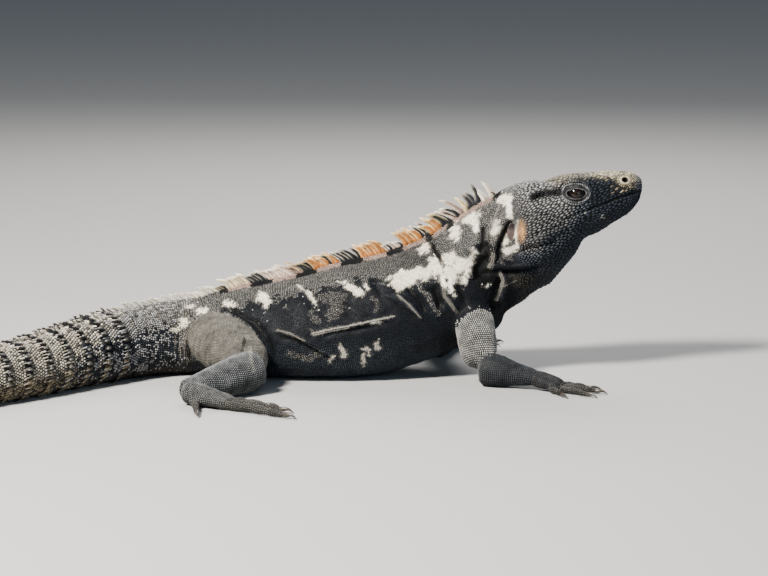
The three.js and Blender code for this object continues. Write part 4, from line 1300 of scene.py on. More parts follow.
for root in squeezed(np.array(roots)):
    cells.setdefault(cell_of(root), []).append(root)
for k in chance.permutation(len(sand)):
    if is_clear(drawn_in[k], room[k] * 0.84):
        roots.append(sand[k])
        cells.setdefault(cell_of(drawn_in[k]), []).append(drawn_in[k])
roots = np.array(roots)
# each loose root moves to the middle of the sand nearest to it, three times over
for _ in range(3):
    tree = tree_of(squeezed(roots))
    owner = np.array([tree.find(place)[1] for place in drawn_in])
    weight = 1 / room ** 2
    total = np.bincount(owner, weight, len(roots))
    drawn = np.stack([np.bincount(owner, sand[:, k] * weight, len(roots)) for k in range(3)], 1)
    moved = drawn / np.maximum(total, 1e-9)[:, None]
    loose = (np.arange(len(roots)) >= set_roots) & (total > 0)
    roots[loose] = moved[loose]
spots, up = onto_hide(np.delete(roots, np.arange(own_roots, set_roots), axis=0))
on_outline = np.array([outline_tree.find(place)[1] for place in spots])
t, angle = outline_t[on_outline], outline_a[on_outline]
behind = body_place(t + 0.05, angle) - body_place(t - 0.02, angle)
along_grain = long_share(spots)[:, None]
lie = flat_on(up, unit(behind) * (1 - along_grain) - grain_at(spots) * along_grain)
kept = open_skin(spots)
spots, up, lie, t, angle = (values[kept] for values in (spots, up, lie, t, angle))
x, z = spots[:, 0], spots[:, 2]
wide = cobble_size(spots, up)
cheek = past(x, 90, 8) * short_of(x, 150, 14) * past(z, 84, 10)
crown = past(up[:, 2], 0.5, 0.3) * (z > 128) * (x > 100)
high = (0.42 + 0.34 * cheek - 0.1 * crown) * (1 - 0.65 * smooth_step(1.6 - 1.3 * from_ear_skin(spots)))
size = np.stack([wide * (1 + 2.0 * long_share(spots)), wide, high], 1)
size = size * (1 + np.array([0.05, 0.05, 0.25]) * chance.uniform(-1, 1, (len(spots), 3)))
up = unit(up + 0.09 * chance.normal(size=up.shape))
lie = flat_on(up, lie)
# no scale grows in the parting of the lips
parting = np.concatenate([side_line_roots(MOUTH, (0,), 0.9, hand) for hand in (-1, 1)])
fold_spots, fold_up = onto_hide(fold_spots)
taken += [spots, parting, fold_spots]
lit, deep = body_tones(spots, up, chance)
chart = np.stack([t / (PAVED_END + 1.4), (angle - math.pi / 2) / (2 * math.pi)], 1) * 0.98
paving = dict(pattern=cobble, spots=spots, up=up, lie=lie, size=size, lit=lit, deep=deep, chart=chart)

# ---- the coat: trunk ----------------------------------------------------------------
# Granules of horn in rings round the body, and between them and the neck's paving a ragged
# joint. The neck has the same low granules; rows of larger ones stand on the folds.
granule = plate_pattern(6, 0.64, 0.14)
HEAD_END = 8.6
LOIN_START = -62


def clear_of(spots, others, gap):
    """False where a spot is closer than the gap to one of the others."""
    tree = tree_of(others)
    return np.array([tree.find(spot)[2] > gap for spot in spots])


def coat_over(name, pattern, place, start, end, pitch, height, tones, cell=(0, 0, 1, 1), wide=1.06, long=1.4,
              jitter=0.12, slack=(4.5, 9.0), ahead=0.02, clear=0, stations=None, loose=0.1):
    """Rings of scales between two stations of an outline, in a cell of the map.

    Pitch is the size of a scale, clear its least distance from those already laid, and loose
    how far it strays from its place in its ring."""
    if stations is None:
        stations = even_stations(place, start, end, pitch)
    pitches = pitch(stations) if callable(pitch) else np.full(len(stations), pitch)
    roots = ring_roots(place, stations, pitches)
    ring = roots[:, 2].astype(int)
    following = np.append(stations, stations[-1] + (stations[-1] - stations[-2]))[ring + 1]
    length = np.linalg.norm(place(following, roots[:, 1]) - place(roots[:, 0], roots[:, 1]), axis=1)
    shift = loose * chance.normal(size=(2, len(roots)))
    roots[:, 0] += shift[0] * (following - roots[:, 0])
    roots[:, 1] += shift[1] * 2 * math.pi / np.bincount(ring)[ring]
    kept, spots, up, lie = settle(place, roots[:, 0], roots[:, 1], *slack, ahead)
    roots, length = roots[kept], length[kept]
    good = open_skin(spots)
    if clear:
        good &= clear_of(spots, np.concatenate(taken), clear)
    roots, length, spots, up, lie = roots[good], length[good], spots[good], up[good], lie[good]
    vary = 1 + jitter * chance.uniform(-1, 1, (len(spots), 3))
    high = height(roots[:, 0]) if callable(height) else height
    size = np.stack([np.maximum(length, 0.55 * roots[:, 3]) * long, roots[:, 3] * wide,
                     high + 0 * length], 1) * vary
    lit, deep = tones(spots, up, chance)
    chart = np.stack([(roots[:, 0] - start) / (end - start), (roots[:, 1] - math.pi / 2) / (2 * math.pi)], 1)
    chart = np.array(cell[:2]) + np.clip(chart, 0, 1) * (np.array(cell[2:]) - cell[:2]) * 0.98
    taken.append(spots)
    return dict(name=name, pattern=pattern, spots=spots, up=up, lie=lie, size=size, lit=lit, deep=deep,
                chart=chart)


def part_of(coat, chosen, **changed):
    """Some of a coat's scales, under a name of their own."""
    cut = {key: values[chosen] for key, values in coat.items() if key not in ("name", "pattern")}
    return dict(cut, **{"pattern": coat["pattern"], **changed})


trunk_coat = coat_over("trunk", granule, body_place, PAVED_END - 1.1, HIPS, 1.38, 0.52, body_tones, loose=0.2,
                       clear=0.95)
on_right, on_head = paving["spots"][:, 1] < 0, t < HEAD_END
coats = [part_of(paving, on_head, name="head_scales")]
for side, on_side in (("right", on_right), ("left", ~on_right)):
    coats.append(part_of(paving, on_side & ~on_head, name=f"neck_scales_{side}", pattern=granule))
on_right, fore = trunk_coat["spots"][:, 1] < 0, trunk_coat["spots"][:, 0] > LOIN_START
for side, on_side in (("right", on_right), ("left", ~on_right)):
    coats.append(part_of(trunk_coat, on_side & fore, name=f"trunk_scales_{side}"))
    coats.append(part_of(trunk_coat, on_side & ~fore, name=f"loin_scales_{side}"))
for coat in coats:
    lay_scales(**coat, horn=body_horn, groove=0.2 if coat["name"].startswith("neck") else 0.14)
fold_x, fold_y, fold_z = fold_spots.T
fold_chart = np.stack([(fold_x + 80) / 170, (fold_z - 30 + 60 * (fold_y > 0)) / 160], 1)
fold_rows = dict(name="fold_scales", pattern=granule, spots=fold_spots, up=fold_up,
                 lie=flat_on(fold_up, fold_lie), size=np.tile([1.5, 1.5, 0.7], (len(fold_spots), 1)),
                 lit=fold_lit, deep=fold_lit * 0.4, chart=np.clip(fold_chart, 0, 0.98))
lay_scales(**fold_rows, horn=body_horn, groove=0.08)

# ---- the coat: limbs ----------------------------------------------------------------
# Low horny scales in clear rings, larger than on the body: pale grey on the upper arm, warm
# grey on the thigh and dark on the hands. The colour of one length of limb runs over the
# joint into the next, and small scales close what the rings leave bare.
limb_horn = horny_finish("limb_scale_horn", (0.45, 0.65), shade=(0.7, 1.3), warm=(0.97, 0.96, 0.94))
KNEE_SLIT_SHADOW, KNEE_PALE = np.array([0.010, 0.010, 0.011]), np.array([0.42, 0.40, 0.35])
# a painted shadow in the slit and a pale rim where the skin of the thigh is drawn over the knee
KNEE_SLIT = [([(-97.4, 35.5), (-98, 32.5), (-98.8, 29.5)], 1.1)]
KNEE_RIM = [([(-93.6, 31), (-91.6, 25), (-89.8, 18)], 1.0)]


JOINT_BLEND_START, JOINT_BLEND_WIDTH = 15, 11


def limb_tones(light, gap=0.08, joint=None, beyond=None):
    """Colours of a length of limb, with gap the lightness of its scales' roots.

    Towards the joint they turn half way to the colour beyond it."""
    def tones(spots, up, rng):
        count = len(spots)
        cloud = mottle(spots, 11, 17) + 0.7 * mottle(spots, 4, 18)
        # painted shade: scales that face downwards are darker
        under = short_of(up[:, 2], 0.15, 0.9)
        tone = np.tile(light, (count, 1))
        if joint is not None:
            away = np.linalg.norm(spots - joint, axis=1)
            near = 0.5 * smooth_step((JOINT_BLEND_START - away) / JOINT_BLEND_WIDTH)
            tone = mix(tone, np.array(beyond), near)
        tone = tone * (1 + 0.2 * cloud)[:, None] * (1 - 0.45 * under)[:, None]
        lit = tone * (0.82 + 0.36 * rng.random((count, 1)))
        lit = mix(lit, KNEE_SLIT_SHADOW, 0.95 * marked(spots, KNEE_SLIT, 71))
        lit = mix(lit, KNEE_PALE, 0.85 * marked(spots, KNEE_RIM, 73))
        return lit, lit * gap
    return tones


def join_coats(name, parts):
    whole = {key: np.concatenate([part[key] for part in parts])
             for key in ("spots", "up", "lie", "size", "lit", "deep", "chart")}
    return dict(whole, name=name, pattern=parts[0]["pattern"])


# each length: where its rings start and end, their pitch, height and colour, and what it joins
LIMB_PLAN = {
    "upper_arm": (0.22, 0.97, 1.6, 0.72, (0.40, 0.39, 0.365), "forearm"),
    # the forearm's dark bluish tone is painted shadow, and towards the elbow it blends with the upper arm as
    # a painted gradient of shade
    "forearm": (0.02, 0.99, 1.45, 0.5, (0.047, 0.053, 0.060), "upper_arm"),
    "hand": (0.02, 0.97, 1.4, 0.5, (0.058, 0.06, 0.063), "hand"),
    "thigh": (0.12, 0.97, 1.25, 0.36, (0.188, 0.174, 0.149), "shank"),
    "shank": (0.02, 0.99, 1.5, 0.6, (0.19, 0.197, 0.2), "thigh"),
    "foot": (0.02, 0.97, 1.6, 0.6, (0.155, 0.155, 0.15), "foot"),
}
# each length's cell of its coat's map, for the right side; the left side's are half a map higher
LIMB_CELLS = {"upper_arm": (0, 0, 0.24, 0.48), "forearm": (0.26, 0, 0.5, 0.48), "hand": (0, 0, 0.2, 0.23),
              "thigh": (0, 0, 0.52, 0.48), "shank": (0.54, 0, 1, 0.48), "foot": (0, 0.25, 0.2, 0.48)}
DIGIT_TONE = (0.10, 0.094, 0.084)
limb_coats = []
for side, v in (("right", 0), ("left", 0.5)):
    arm, leg, ends = [], [], []
    for part, (start, end, pitch, height, light, joined) in LIMB_PLAN.items():
        in_arm = part in ("upper_arm", "forearm")
        beyond_joint = limbs[f"{'forearm' if in_arm else 'shank'}_{side}"]
        joint = beyond_joint.place(np.full(8, 0.03), np.linspace(0, 2 * math.pi, 8, False)).mean(0)
        tones = limb_tones(light, 0.3 if part == "thigh" else 0.06, joint=joint, beyond=LIMB_PLAN[joined][4])
        left, low, right, high = LIMB_CELLS[part]
        coat = coat_over(part, granule, limbs[f"{part}_{side}"].place, start, end, pitch, height, tones,
                         (left, v + low, right, v + high), slack=(2.2, 5.0), ahead=0.015, long=1.35,
                         clear=1.0 if part in ("upper_arm", "thigh") else 0.65, jitter=0.05, loose=0.03)
        (arm if in_arm else ends if part in ("hand", "foot") else leg).append(coat)
    for row, part in enumerate(("hand", "foot")):
        for k, digit in enumerate(digits[f"{part}_{side}"]):
            u, low = 0.22 + 0.155 * k, v + 0.25 * row
            ends.append(coat_over(part, granule, digit["limb"].place, 0.03, 0.985, 1.75, 0.42,
                                  limb_tones(DIGIT_TONE), (u, low, u + 0.14, low + 0.23), wide=1.1, long=1.4,
                                  slack=(1.2, 2.4), ahead=0.01, clear=0.75))
    limb_coats += [join_coats(f"arm_scales_{side}", arm), join_coats(f"leg_scales_{side}", leg),
                   join_coats(f"hand_and_foot_scales_{side}", ends)]

# closing scales at the heels, the elbows and the webs of the digits: how far from every other
# scale and from each other they are rooted, and their size
CLOSING_ROOM, CLOSING_REACH, CLOSING_GAP = 1.2, 7, 1.3
CLOSING_SIZE = [1.7, 1.7, 0.45]
everywhere = tree_of(np.concatenate(taken))
limb_tree = tree_of(np.concatenate([coat["spots"] for coat in limb_coats]))
belongs = np.repeat(np.arange(len(limb_coats)), [len(coat["spots"]) for coat in limb_coats])
within = np.concatenate([np.arange(len(coat["spots"])) for coat in limb_coats])
closing = [[] for _ in limb_coats]
closed = np.zeros((0, 3))
for k in chance.permutation(np.flatnonzero((middles[:, 2] > 0.8) & (middles[:, 2] < 60))):
    reach = everywhere.find(middles[k])[2]
    _, near, limb_reach = limb_tree.find(middles[k])
    if not CLOSING_ROOM < reach < CLOSING_REACH or limb_reach > reach + 1e-6:
        continue
    if len(closed) and ((closed - middles[k]) ** 2).sum(1).min() < CLOSING_GAP ** 2:
        continue
    closed = np.vstack([closed, middles[k]])
    closing[belongs[near]].append((k, within[near]))
for coat, found in zip(limb_coats, closing):
    if not found:
        continue
    face, near = np.array(found).T
    up = unit(normals[quads[face]].mean(1))
    lie = coat["lie"][near] - up * (coat["lie"][near] * up).sum(1, keepdims=True)
    extra = dict(spots=middles[face], up=up, lie=unit(lie + 1e-4), size=np.tile(CLOSING_SIZE, (len(face), 1)),
                 lit=coat["lit"][near], deep=coat["deep"][near], chart=coat["chart"][near])
    for key, values in extra.items():
        coat[key] = np.concatenate([coat[key], values])
taken.append(closed)
for coat in limb_coats:
    lay_scales(**coat, horn=limb_horn, groove=0.16, slot="limb_scales")

# ---- the coat: tail -----------------------------------------------------------------
# Whorls: six rings of small pale keeled scales, then one ring of big keeled spines, dark with
# pale tips, that stand out over the next whorl. The root of the tail has only keeled scales.
tail_horn = horny_finish("tail_scale_horn", (0.5, 0.75), shade=(0.6, 1.3), relief=0.16)
WHORL_CREAM, WHORL_TAN = np.array([0.58, 0.54, 0.46]), np.array([0.34, 0.285, 0.19])
WHORL_BLACK = np.array([0.05, 0.047, 0.045])
SPINE_TIP, SPINE_BLACK = np.array([0.60, 0.57, 0.50]), np.array([0.011, 0.012, 0.015])
TAIL_BASE = 58
FIRST_SPINES = 3


def keeled_pattern(tip, crown):
    """A scale with a keel along it that rises to a point over the scale behind."""
    bm = bmesh.new()
    bmesh.ops.create_cone(bm, cap_ends=True, segments=6, radius1=0.5, radius2=crown, depth=1)
    bmesh.ops.rotate(bm, verts=bm.verts, cent=(0, 0, 0), matrix=Matrix.Rotation(math.pi / 6, 3, "Z"))
    light = []
    for vert in bm.verts:
        back = math.cos(math.atan2(vert.co.y, vert.co.x))
        if vert.co.z < 0:
            vert.co.z = -0.4
            light.append(0.0)
        elif back > 0.9:
            vert.co = (tip, 0, 1.0)
            light.append(1.0)
        else:
            vert.co.z = 0.52 + 0.2 * back
            light.append(0.68 + 0.2 * back)
    bm.normal_update()
    return pattern_of(bm, np.clip(light, 0, 1), -0.8)


def spine_pattern(sides):
    """A keeled thorn, its base one wide and its point one high, that overhangs the next whorl."""
    bm = bmesh.new()
    bmesh.ops.create_circle(bm, cap_ends=True, segments=sides, radius=0.5)
    bmesh.ops.reverse_faces(bm, faces=bm.faces[:])
    edges, light = list(bm.edges), [0.0] * sides
    foot = {v: v.co.copy() for v in bm.verts}
    for share, back, high, pale in ((0.94, 0.04, 0.2, 0.0), (0.66, 0.16, 0.55, 0.0), (0.3, 0.46, 0.88, 0.06),
                                    (0.03, 0.78, 1.0, 1.0)):
        made = bmesh.ops.extrude_edge_only(bm, edges=edges)["geom"]
        edges = [g for g in made if isinstance(g, bmesh.types.BMEdge)]
        above = [g for g in made if isinstance(g, bmesh.types.BMVert)]
        below = {v: next(e.other_vert(v) for e in v.link_edges if e.other_vert(v) in foot) for v in above}
        for vert in above:
            root = foot[below[vert]]
            rim = abs(root.y) * 2
            vert.co = (root.x * share + back, root.y * share, high - 0.3 * rim * share)
            light.append(min(1, pale + 0.3 * (rim < 0.1) * (back > 0.3)))
        foot = {v: foot[below[v]] for v in above}
    bmesh.ops.holes_fill(bm, edges=edges, sides=0)
    bmesh.ops.recalc_face_normals(bm, faces=bm.faces)
    bm.verts.index_update()
    pattern = pattern_of(bm, light, -0.95)
    # the foot is set a little into the skin
    pattern[0][:sides, 2] = -0.3
    return pattern


def tail_station(s):
    return HIPS + s / TAIL_PER_STATION


def tail_tones(spots, up, rng):
    count = len(spots)
    cloud = mottle(spots, 12, 23)
    low = short_of(up[:, 2], 0.1, 0.6)
    lit = mix(np.tile(WHORL_CREAM, (count, 1)), WHORL_TAN, low)
    lit = lit * (0.55 + 0.6 * rng.random((count, 1)))
    lit = lit * (1 + 0.25 * cloud)[:, None]
    black = rng.random(count) < 0.12 + 0.16 * cloud + 0.3 * low
    lit = mix(lit, WHORL_BLACK, black * 0.9)
    # the hips' black, pale-flecked colouring runs out over the first whorls
    base_lit, base_deep = body_tones(spots, up, rng)
    onset = smooth_step((-176 - spots[:, 0] + 7 * cloud - 16 * short_of(up[:, 2], 0.5, 0.5)) / 40)
    whorled = rng.random(count) < onset
    return np.where(whorled[:, None], lit, base_lit), np.where(whorled[:, None], lit * 0.12, base_deep)


small_rows, spine_rows, spine_lengths = [], [], []
for whorl in range(TAIL_WHORLS):
    start, length = whorl_start(whorl), whorl_start(whorl + 1) - whorl_start(whorl)
    if whorl < FIRST_SPINES:
        small_rows += [start + length * share for share in (0.04, 0.2, 0.36, 0.52, 0.68, 0.84)]
    else:
        small_rows += [start + length * share for share in (0.0, 0.115, 0.23, 0.345, 0.46, 0.57)]
        spine_rows.append(start + length * 0.72)
        spine_lengths.append(length)
keeled = keeled_pattern(0.7, 0.36)


def base_pitch(t):
    return np.interp(t, [20, 22.3], [1.35, 1.9])


def whorl_pitch(t):
    return np.interp((t - HIPS) * TAIL_PER_STATION, [0, 40, 90, 300, 500], [1.6, 2.0, 2.2, 1.8, 1.1])


def whorl_scale_height(t):
    return np.interp(t, [20, 40], [1.5, 0.4])


base_rows = np.arange(0.5, TAIL_BASE, 1.85)
whorl_rows = np.array([s for s in small_rows if s > TAIL_BASE + 0.5])
tail_coats = [
    coat_over("tail_base_scales", keeled, body_place, HIPS, tail_station(TAIL_BASE), base_pitch, 0.95,
              body_tones, long=1.35, ahead=0.03, stations=tail_station(base_rows), jitter=0.2),
    coat_over("tail_scales", keeled, body_place, tail_station(TAIL_BASE), TAIL_END, whorl_pitch,
              whorl_scale_height, tail_tones, long=1.3, ahead=0.03, stations=tail_station(whorl_rows),
              jitter=0.12, wide=1.1, loose=0.04),
]
for coat in tail_coats:
    lay_scales(**coat, horn=tail_horn, groove=0.14, slot="tail_scales")

spine_stations = tail_station(np.array(spine_rows))
roots = ring_roots(body_place, spine_stations, np.interp(spine_stations, [22, 40], [5.2, 1.5]))
kept, spots, up, lie = settle(body_place, roots[:, 0], roots[:, 1], 4.5, 9.0, 0.03)
station, angle, ring, breadth = roots[kept].T
thick = tail_radius((station - HIPS) * TAIL_PER_STATION) / TAIL_ROOT_RADIUS
above = smooth_step((up[:, 2] + 0.45) / 0.8)
onset = smooth_step((station - tail_station(52)) / 1.6)
size = np.stack([np.array(spine_lengths)[ring.astype(int)] * 0.38, breadth * 1.1,
                 (0.5 + 4.5 * thick ** 0.8) * (0.45 + 0.55 * above) * (0.5 + 0.5 * onset)], 1)
size *= 1 + 0.07 * chance.uniform(-1, 1, size.shape)
low = short_of(up[:, 2], 0.1, 0.5)
lit = mix(np.tile(SPINE_TIP, (len(spots), 1)), TAN, low * 0.6) * (0.6 + 0.6 * chance.random((len(spots), 1)))
deep = mix(np.tile(SPINE_BLACK, (len(spots), 1)), TAN * 0.25, low * 0.7)
chart = np.stack([(station - 22) / 18.2, (angle - math.pi / 2) / (2 * math.pi)], 1) * 0.98
tail_spines = dict(pattern=spine_pattern(8), spots=spots, up=up, lie=lie, size=size, lit=lit, deep=deep,
                   chart=chart)
tail_spines = part_of(tail_spines, spots[:, 2] > 0.8, name="tail_spines")
lay_scales(**tail_spines, horn=tail_horn, slot="tail_scales")

# ---- the crest ----------------------------------------------------------------------
# Long flat horny spines along the middle of the back, tallest on the nape, curved backwards.
# Orange ones lap like a hand of cards; black ones stand apart like fingers, with pale rims.
crest_horn = horny_finish("crest_horn", (0.36, 0.58), blotch=1.6, shade=(0.66, 1.25), relief=0.12)


def blade_pattern(sides, levels, bend):
    """A flat horn, one wide at its base and one high, whose rounded tip curves back by the bend."""
    bm = bmesh.new()
    bmesh.ops.create_circle(bm, cap_ends=True, segments=sides, radius=0.5)
    bmesh.ops.reverse_faces(bm, faces=bm.faces[:])
    edges = list(bm.edges)
    ring = [(v, v.co.copy()) for v in bm.verts]
    side_of = {v: v.co.x * 2 for v in bm.verts}
    for level in range(1, levels + 1):
        high = level / levels
        made = bmesh.ops.extrude_edge_only(bm, edges=edges)["geom"]
        edges = [g for g in made if isinstance(g, bmesh.types.BMEdge)]
        above = [g for g in made if isinstance(g, bmesh.types.BMVert)]
        following = []
        for vert in above:
            _, foot = min(ring, key=lambda pair: (pair[0].co - vert.co).length)
            following.append((vert, foot.copy()))
            side_of[vert] = foot.x * 2
        for vert, foot in following:
            width = max((1 - 0.42 * high) * (1 - high ** 7) ** 0.6, 0.03)
            depth = max((1 - high ** 2.6) ** 0.7, 0.03)
            vert.co = (foot.x * width + bend * high ** 2.1, foot.y * depth, high)
        ring = following
    bmesh.ops.holes_fill(bm, edges=edges, sides=0)
    bmesh.ops.recalc_face_normals(bm, faces=bm.faces)
    bm.verts.index_update()
    height = np.array([v.co.z for v in bm.verts])
    side = np.array([side_of[v] for v in bm.verts])
    # pale rims and tip, one rim brighter than the other as a painted highlight, a dark foot and a painted
    # shade streak up the middle
    rim = (np.abs(side) > 0.8) * past(height, 0.1, 0.3) * np.where(side > 0, 0.9, 0.45)
    light = 0.9 * past(height, 0.68, 0.32) + rim + 0.1 * smooth_step(height / 0.5)
    light = light - 0.4 * short_of(height, 0.25, 0.25)
    light = light - 0.45 * (np.abs(side + 0.3) < 0.4) * (height < 0.75)
    pattern = pattern_of(bm, np.clip(light, -0.6, 1), -0.9)
    pattern[0][height == 0, 2] = -0.12
    return pattern


# spines follow each other along the ridge, each group's at a spacing of its own
back_line = body_place(np.linspace(9.8, 27, 900), np.full(900, math.pi / 2))
run = run_of(back_line)
at = [1.0]
while at[-1] < run[-1] - 5:
    x = np.interp(at[-1], run, back_line[:, 0])
    at.append(at[-1] + CREST_GROUPS[int(crest_group(x))][1] * chance.uniform(0.82, 1.2))
at = np.array(at)
feet = along(back_line, run, at)
behind = unit(along(back_line, run, at + 2) - along(back_line, run, at - 2))
rise = unit(np.cross(behind, np.array([0, -1.0, 0])))
rise *= np.where(rise[:, 2] < 0, -1, 1)[:, None]
count = len(at)
groups = [CREST_GROUPS[k] for k in crest_group(feet[:, 0])]
high, wide, lean, blackened = (np.array([group[k] for group in groups], float) for k in (2, 3, 4, 7))
high = high * (1 + 0.16 * chance.uniform(-1, 1, count))
lean = np.radians(lean + chance.uniform(-8, 8, count))
splay = chance.uniform(-1, 1, count) * np.interp(feet[:, 0], [20, 50], [0.09, 0.2])
up = rise * np.cos(lean)[:, None] + behind * np.sin(lean)[:, None]
up = unit(up + np.array([0, 1.0, 0]) * splay[:, None])
lie = flat_on(up, behind)
yaw = np.radians(17 + chance.uniform(-13, 13, count))
lie = unit(lie * np.cos(yaw)[:, None] + np.cross(up, lie) * np.sin(yaw)[:, None])
own, edge = (np.array([group[k] for group in groups]) for k in (5, 6))
own[chance.random(count) < blackened] = INK * 1.5
shade = 0.8 + 0.4 * chance.random((count, 1))
seated = feet + rise * (0.55 * ridge_height(feet) - 0.8)[:, None]
crest = dict(name="crest", pattern=blade_pattern(12, 10, 1.1), spots=seated, up=up, lie=lie,
             size=np.stack([wide, 0.36 * wide + 0.3, high + 1.0], 1), lit=np.clip(edge * shade, 0, 0.95),
             deep=own * shade, chart=np.stack([np.linspace(0, 0.97, count), np.full(count, 0.5)], 1))
lay_scales(**crest, horn=crest_horn, slot="crest_spines")

# ---- eyes ---------------------------------------------------------------------------
# A wet, dark brown eyeball with a round pupil, set deep under a heavy brow. Loose rings of
# skin make the lids round an almond opening, with rows of small granules on them.
lid_skin = horny_finish("lid_skin", (0.42, 0.6), fine=0.25, relief=0.08)
LID_DARK, LID_PALE = np.array([0.012, 0.012, 0.013]), np.array([0.17, 0.165, 0.16])
BEAD_DARK, BEAD_PALE = np.array([0.026, 0.028, 0.031]), np.array([0.34, 0.335, 0.33])
EYE_RADIUS = 8.0
OPENING = (6.7, 3.3)
OUTER = (10.5, 6.9)
LID_RIDGES = [(0.14, 0.95), (0.52, 0.4), (0.86, 0.8)]


wet_eye, tree, shader = node_tree("wet_eye")
gaze = tree.nodes.new("ShaderNodeAttribute")
gaze.attribute_name = "gaze"
away = tree.nodes.new("ShaderNodeVectorMath")
away.operation = "LENGTH"
tree.links.new(gaze.outputs["Vector"], away.inputs[0])
fibres = tree.nodes.new("ShaderNodeMath")
fibres.operation = "MULTIPLY_ADD"
tree.links.new(grain_of(tree, 0.8, 5.0), fibres.inputs[0])
fibres.inputs[1].default_value = 0.24
tree.links.new(away.outputs["Value"], fibres.inputs[2])
ramp = tree.nodes.new("ShaderNodeValToRGB")
stops = [(0.0, (0.002, 0.002, 0.002)), (0.46, (0.002, 0.002, 0.002)), (0.50, (0.034, 0.019, 0.008)),
         (0.58, (0.011, 0.006, 0.003)), (0.86, (0.006, 0.004, 0.003)), (1.0, (0.004, 0.003, 0.003))]
ramp.color_ramp.elements[0].color = (*stops[0][1], 1)
ramp.color_ramp.elements[1].position, ramp.color_ramp.elements[1].color = 1.0, (*stops[-1][1], 1)
for at, colour in stops[1:-1]:
    ramp.color_ramp.elements.new(at).color = (*colour, 1)
tree.links.new(fibres.outputs[0], ramp.inputs["Fac"])
tree.links.new(ramp.outputs["Color"], shader.inputs["Base Color"])
shader.inputs["Roughness"].default_value = 0.12
shader.inputs["Specular IOR Level"].default_value = 0.05
shader.inputs["Coat Weight"].default_value = 0.55
shader.inputs["Coat Roughness"].default_value = 0.02


def lid_outline(share, angle):
    """Offset from the eye's middle at a share of the way from the opening to the outer ring."""
    ca, sa = np.cos(angle), np.sin(angle)
    almond = np.array([OPENING[0] * ca, OPENING[1] * np.sign(sa) * abs(sa) ** 1.25 + 0.5])
    ring = np.array([OUTER[0] * ca - 0.2, OUTER[1] * sa + 0.8])
    return almond + (ring - almond) * share


def lid_depth(x, z, hand, lift):
    """How far to the side the lid stands: over the eyeball, and over the skin round it."""
    across = math.hypot(x, z)
    ball = math.sqrt(max(EYE_RADIUS ** 2 - across ** 2, 0)) + EYE_CENTRE[1] + 0.25
    around = outline_depth(EYE_CENTRE[0] + x, EYE_CENTRE[2] + z, hand) + 0.35
    far = past(across, 3.5, 4.5)
    base = max(ball, around * far + (ball - 0.6) * (1 - far))
    skin_over = math.exp((around * far + ball * (1 - far) - base) / 0.5)
    soft = 0.5 * math.log(math.exp((ball - base) / 0.5) + skin_over)
    return base + 0.5 * soft + lift


def lid_relief(share, angle):
    """Height of the lid's rings at a share of the way out, uneven round the eye."""
    lift = 0.0
    for k, (at, height) in enumerate(LID_RIDGES):
        at = at + 0.05 * math.sin(2 * angle + 1.7 * k) + 0.03 * math.sin(5 * angle + k)
        uneven = 0.72 + 0.28 * math.sin(angle * (2 + k) + 2.1 * k + 0.5) + 0.14 * math.sin(9 * angle + k)
        lift = max(lift, height * uneven * math.exp(-((share - at) / (0.10 + 0.02 * k)) ** 2))
    return lift - 1.6 * max(share - 0.95, 0) / 0.17


def lid_place(share, angle, hand, lift):
    x, z = lid_outline(share, angle)
    return np.array([EYE_CENTRE[0] + x, hand * lid_depth(x, z, hand, lift), EYE_CENTRE[2] + z])


def smooth_object(bm, name):
    """The shape as a piece with its faces outwards and smoothly shaded."""
    bmesh.ops.recalc_face_normals(bm, faces=bm.faces)
    for face in bm.faces:
        face.smooth = True
    return object_of(bm, name)


def closed_on_itself(grid):
    """A grid with its first row and column repeated after its last."""
    grid = np.concatenate([grid, grid[:1]])
    return np.concatenate([grid, grid[:, :1]], axis=1)


def shaded(dark, pale, light):
    return (*(dark * (1 - light) + pale * light), 1)


# the rows of granules: each one's share of the way out and its number of granules
LID_ROWS = [(0.13, 34), (0.26, 36), (0.39, 38), (0.52, 40), (0.65, 42), (0.78, 44), (0.9, 46)]
LID_SHARES = np.linspace(0, 1.12, 46)
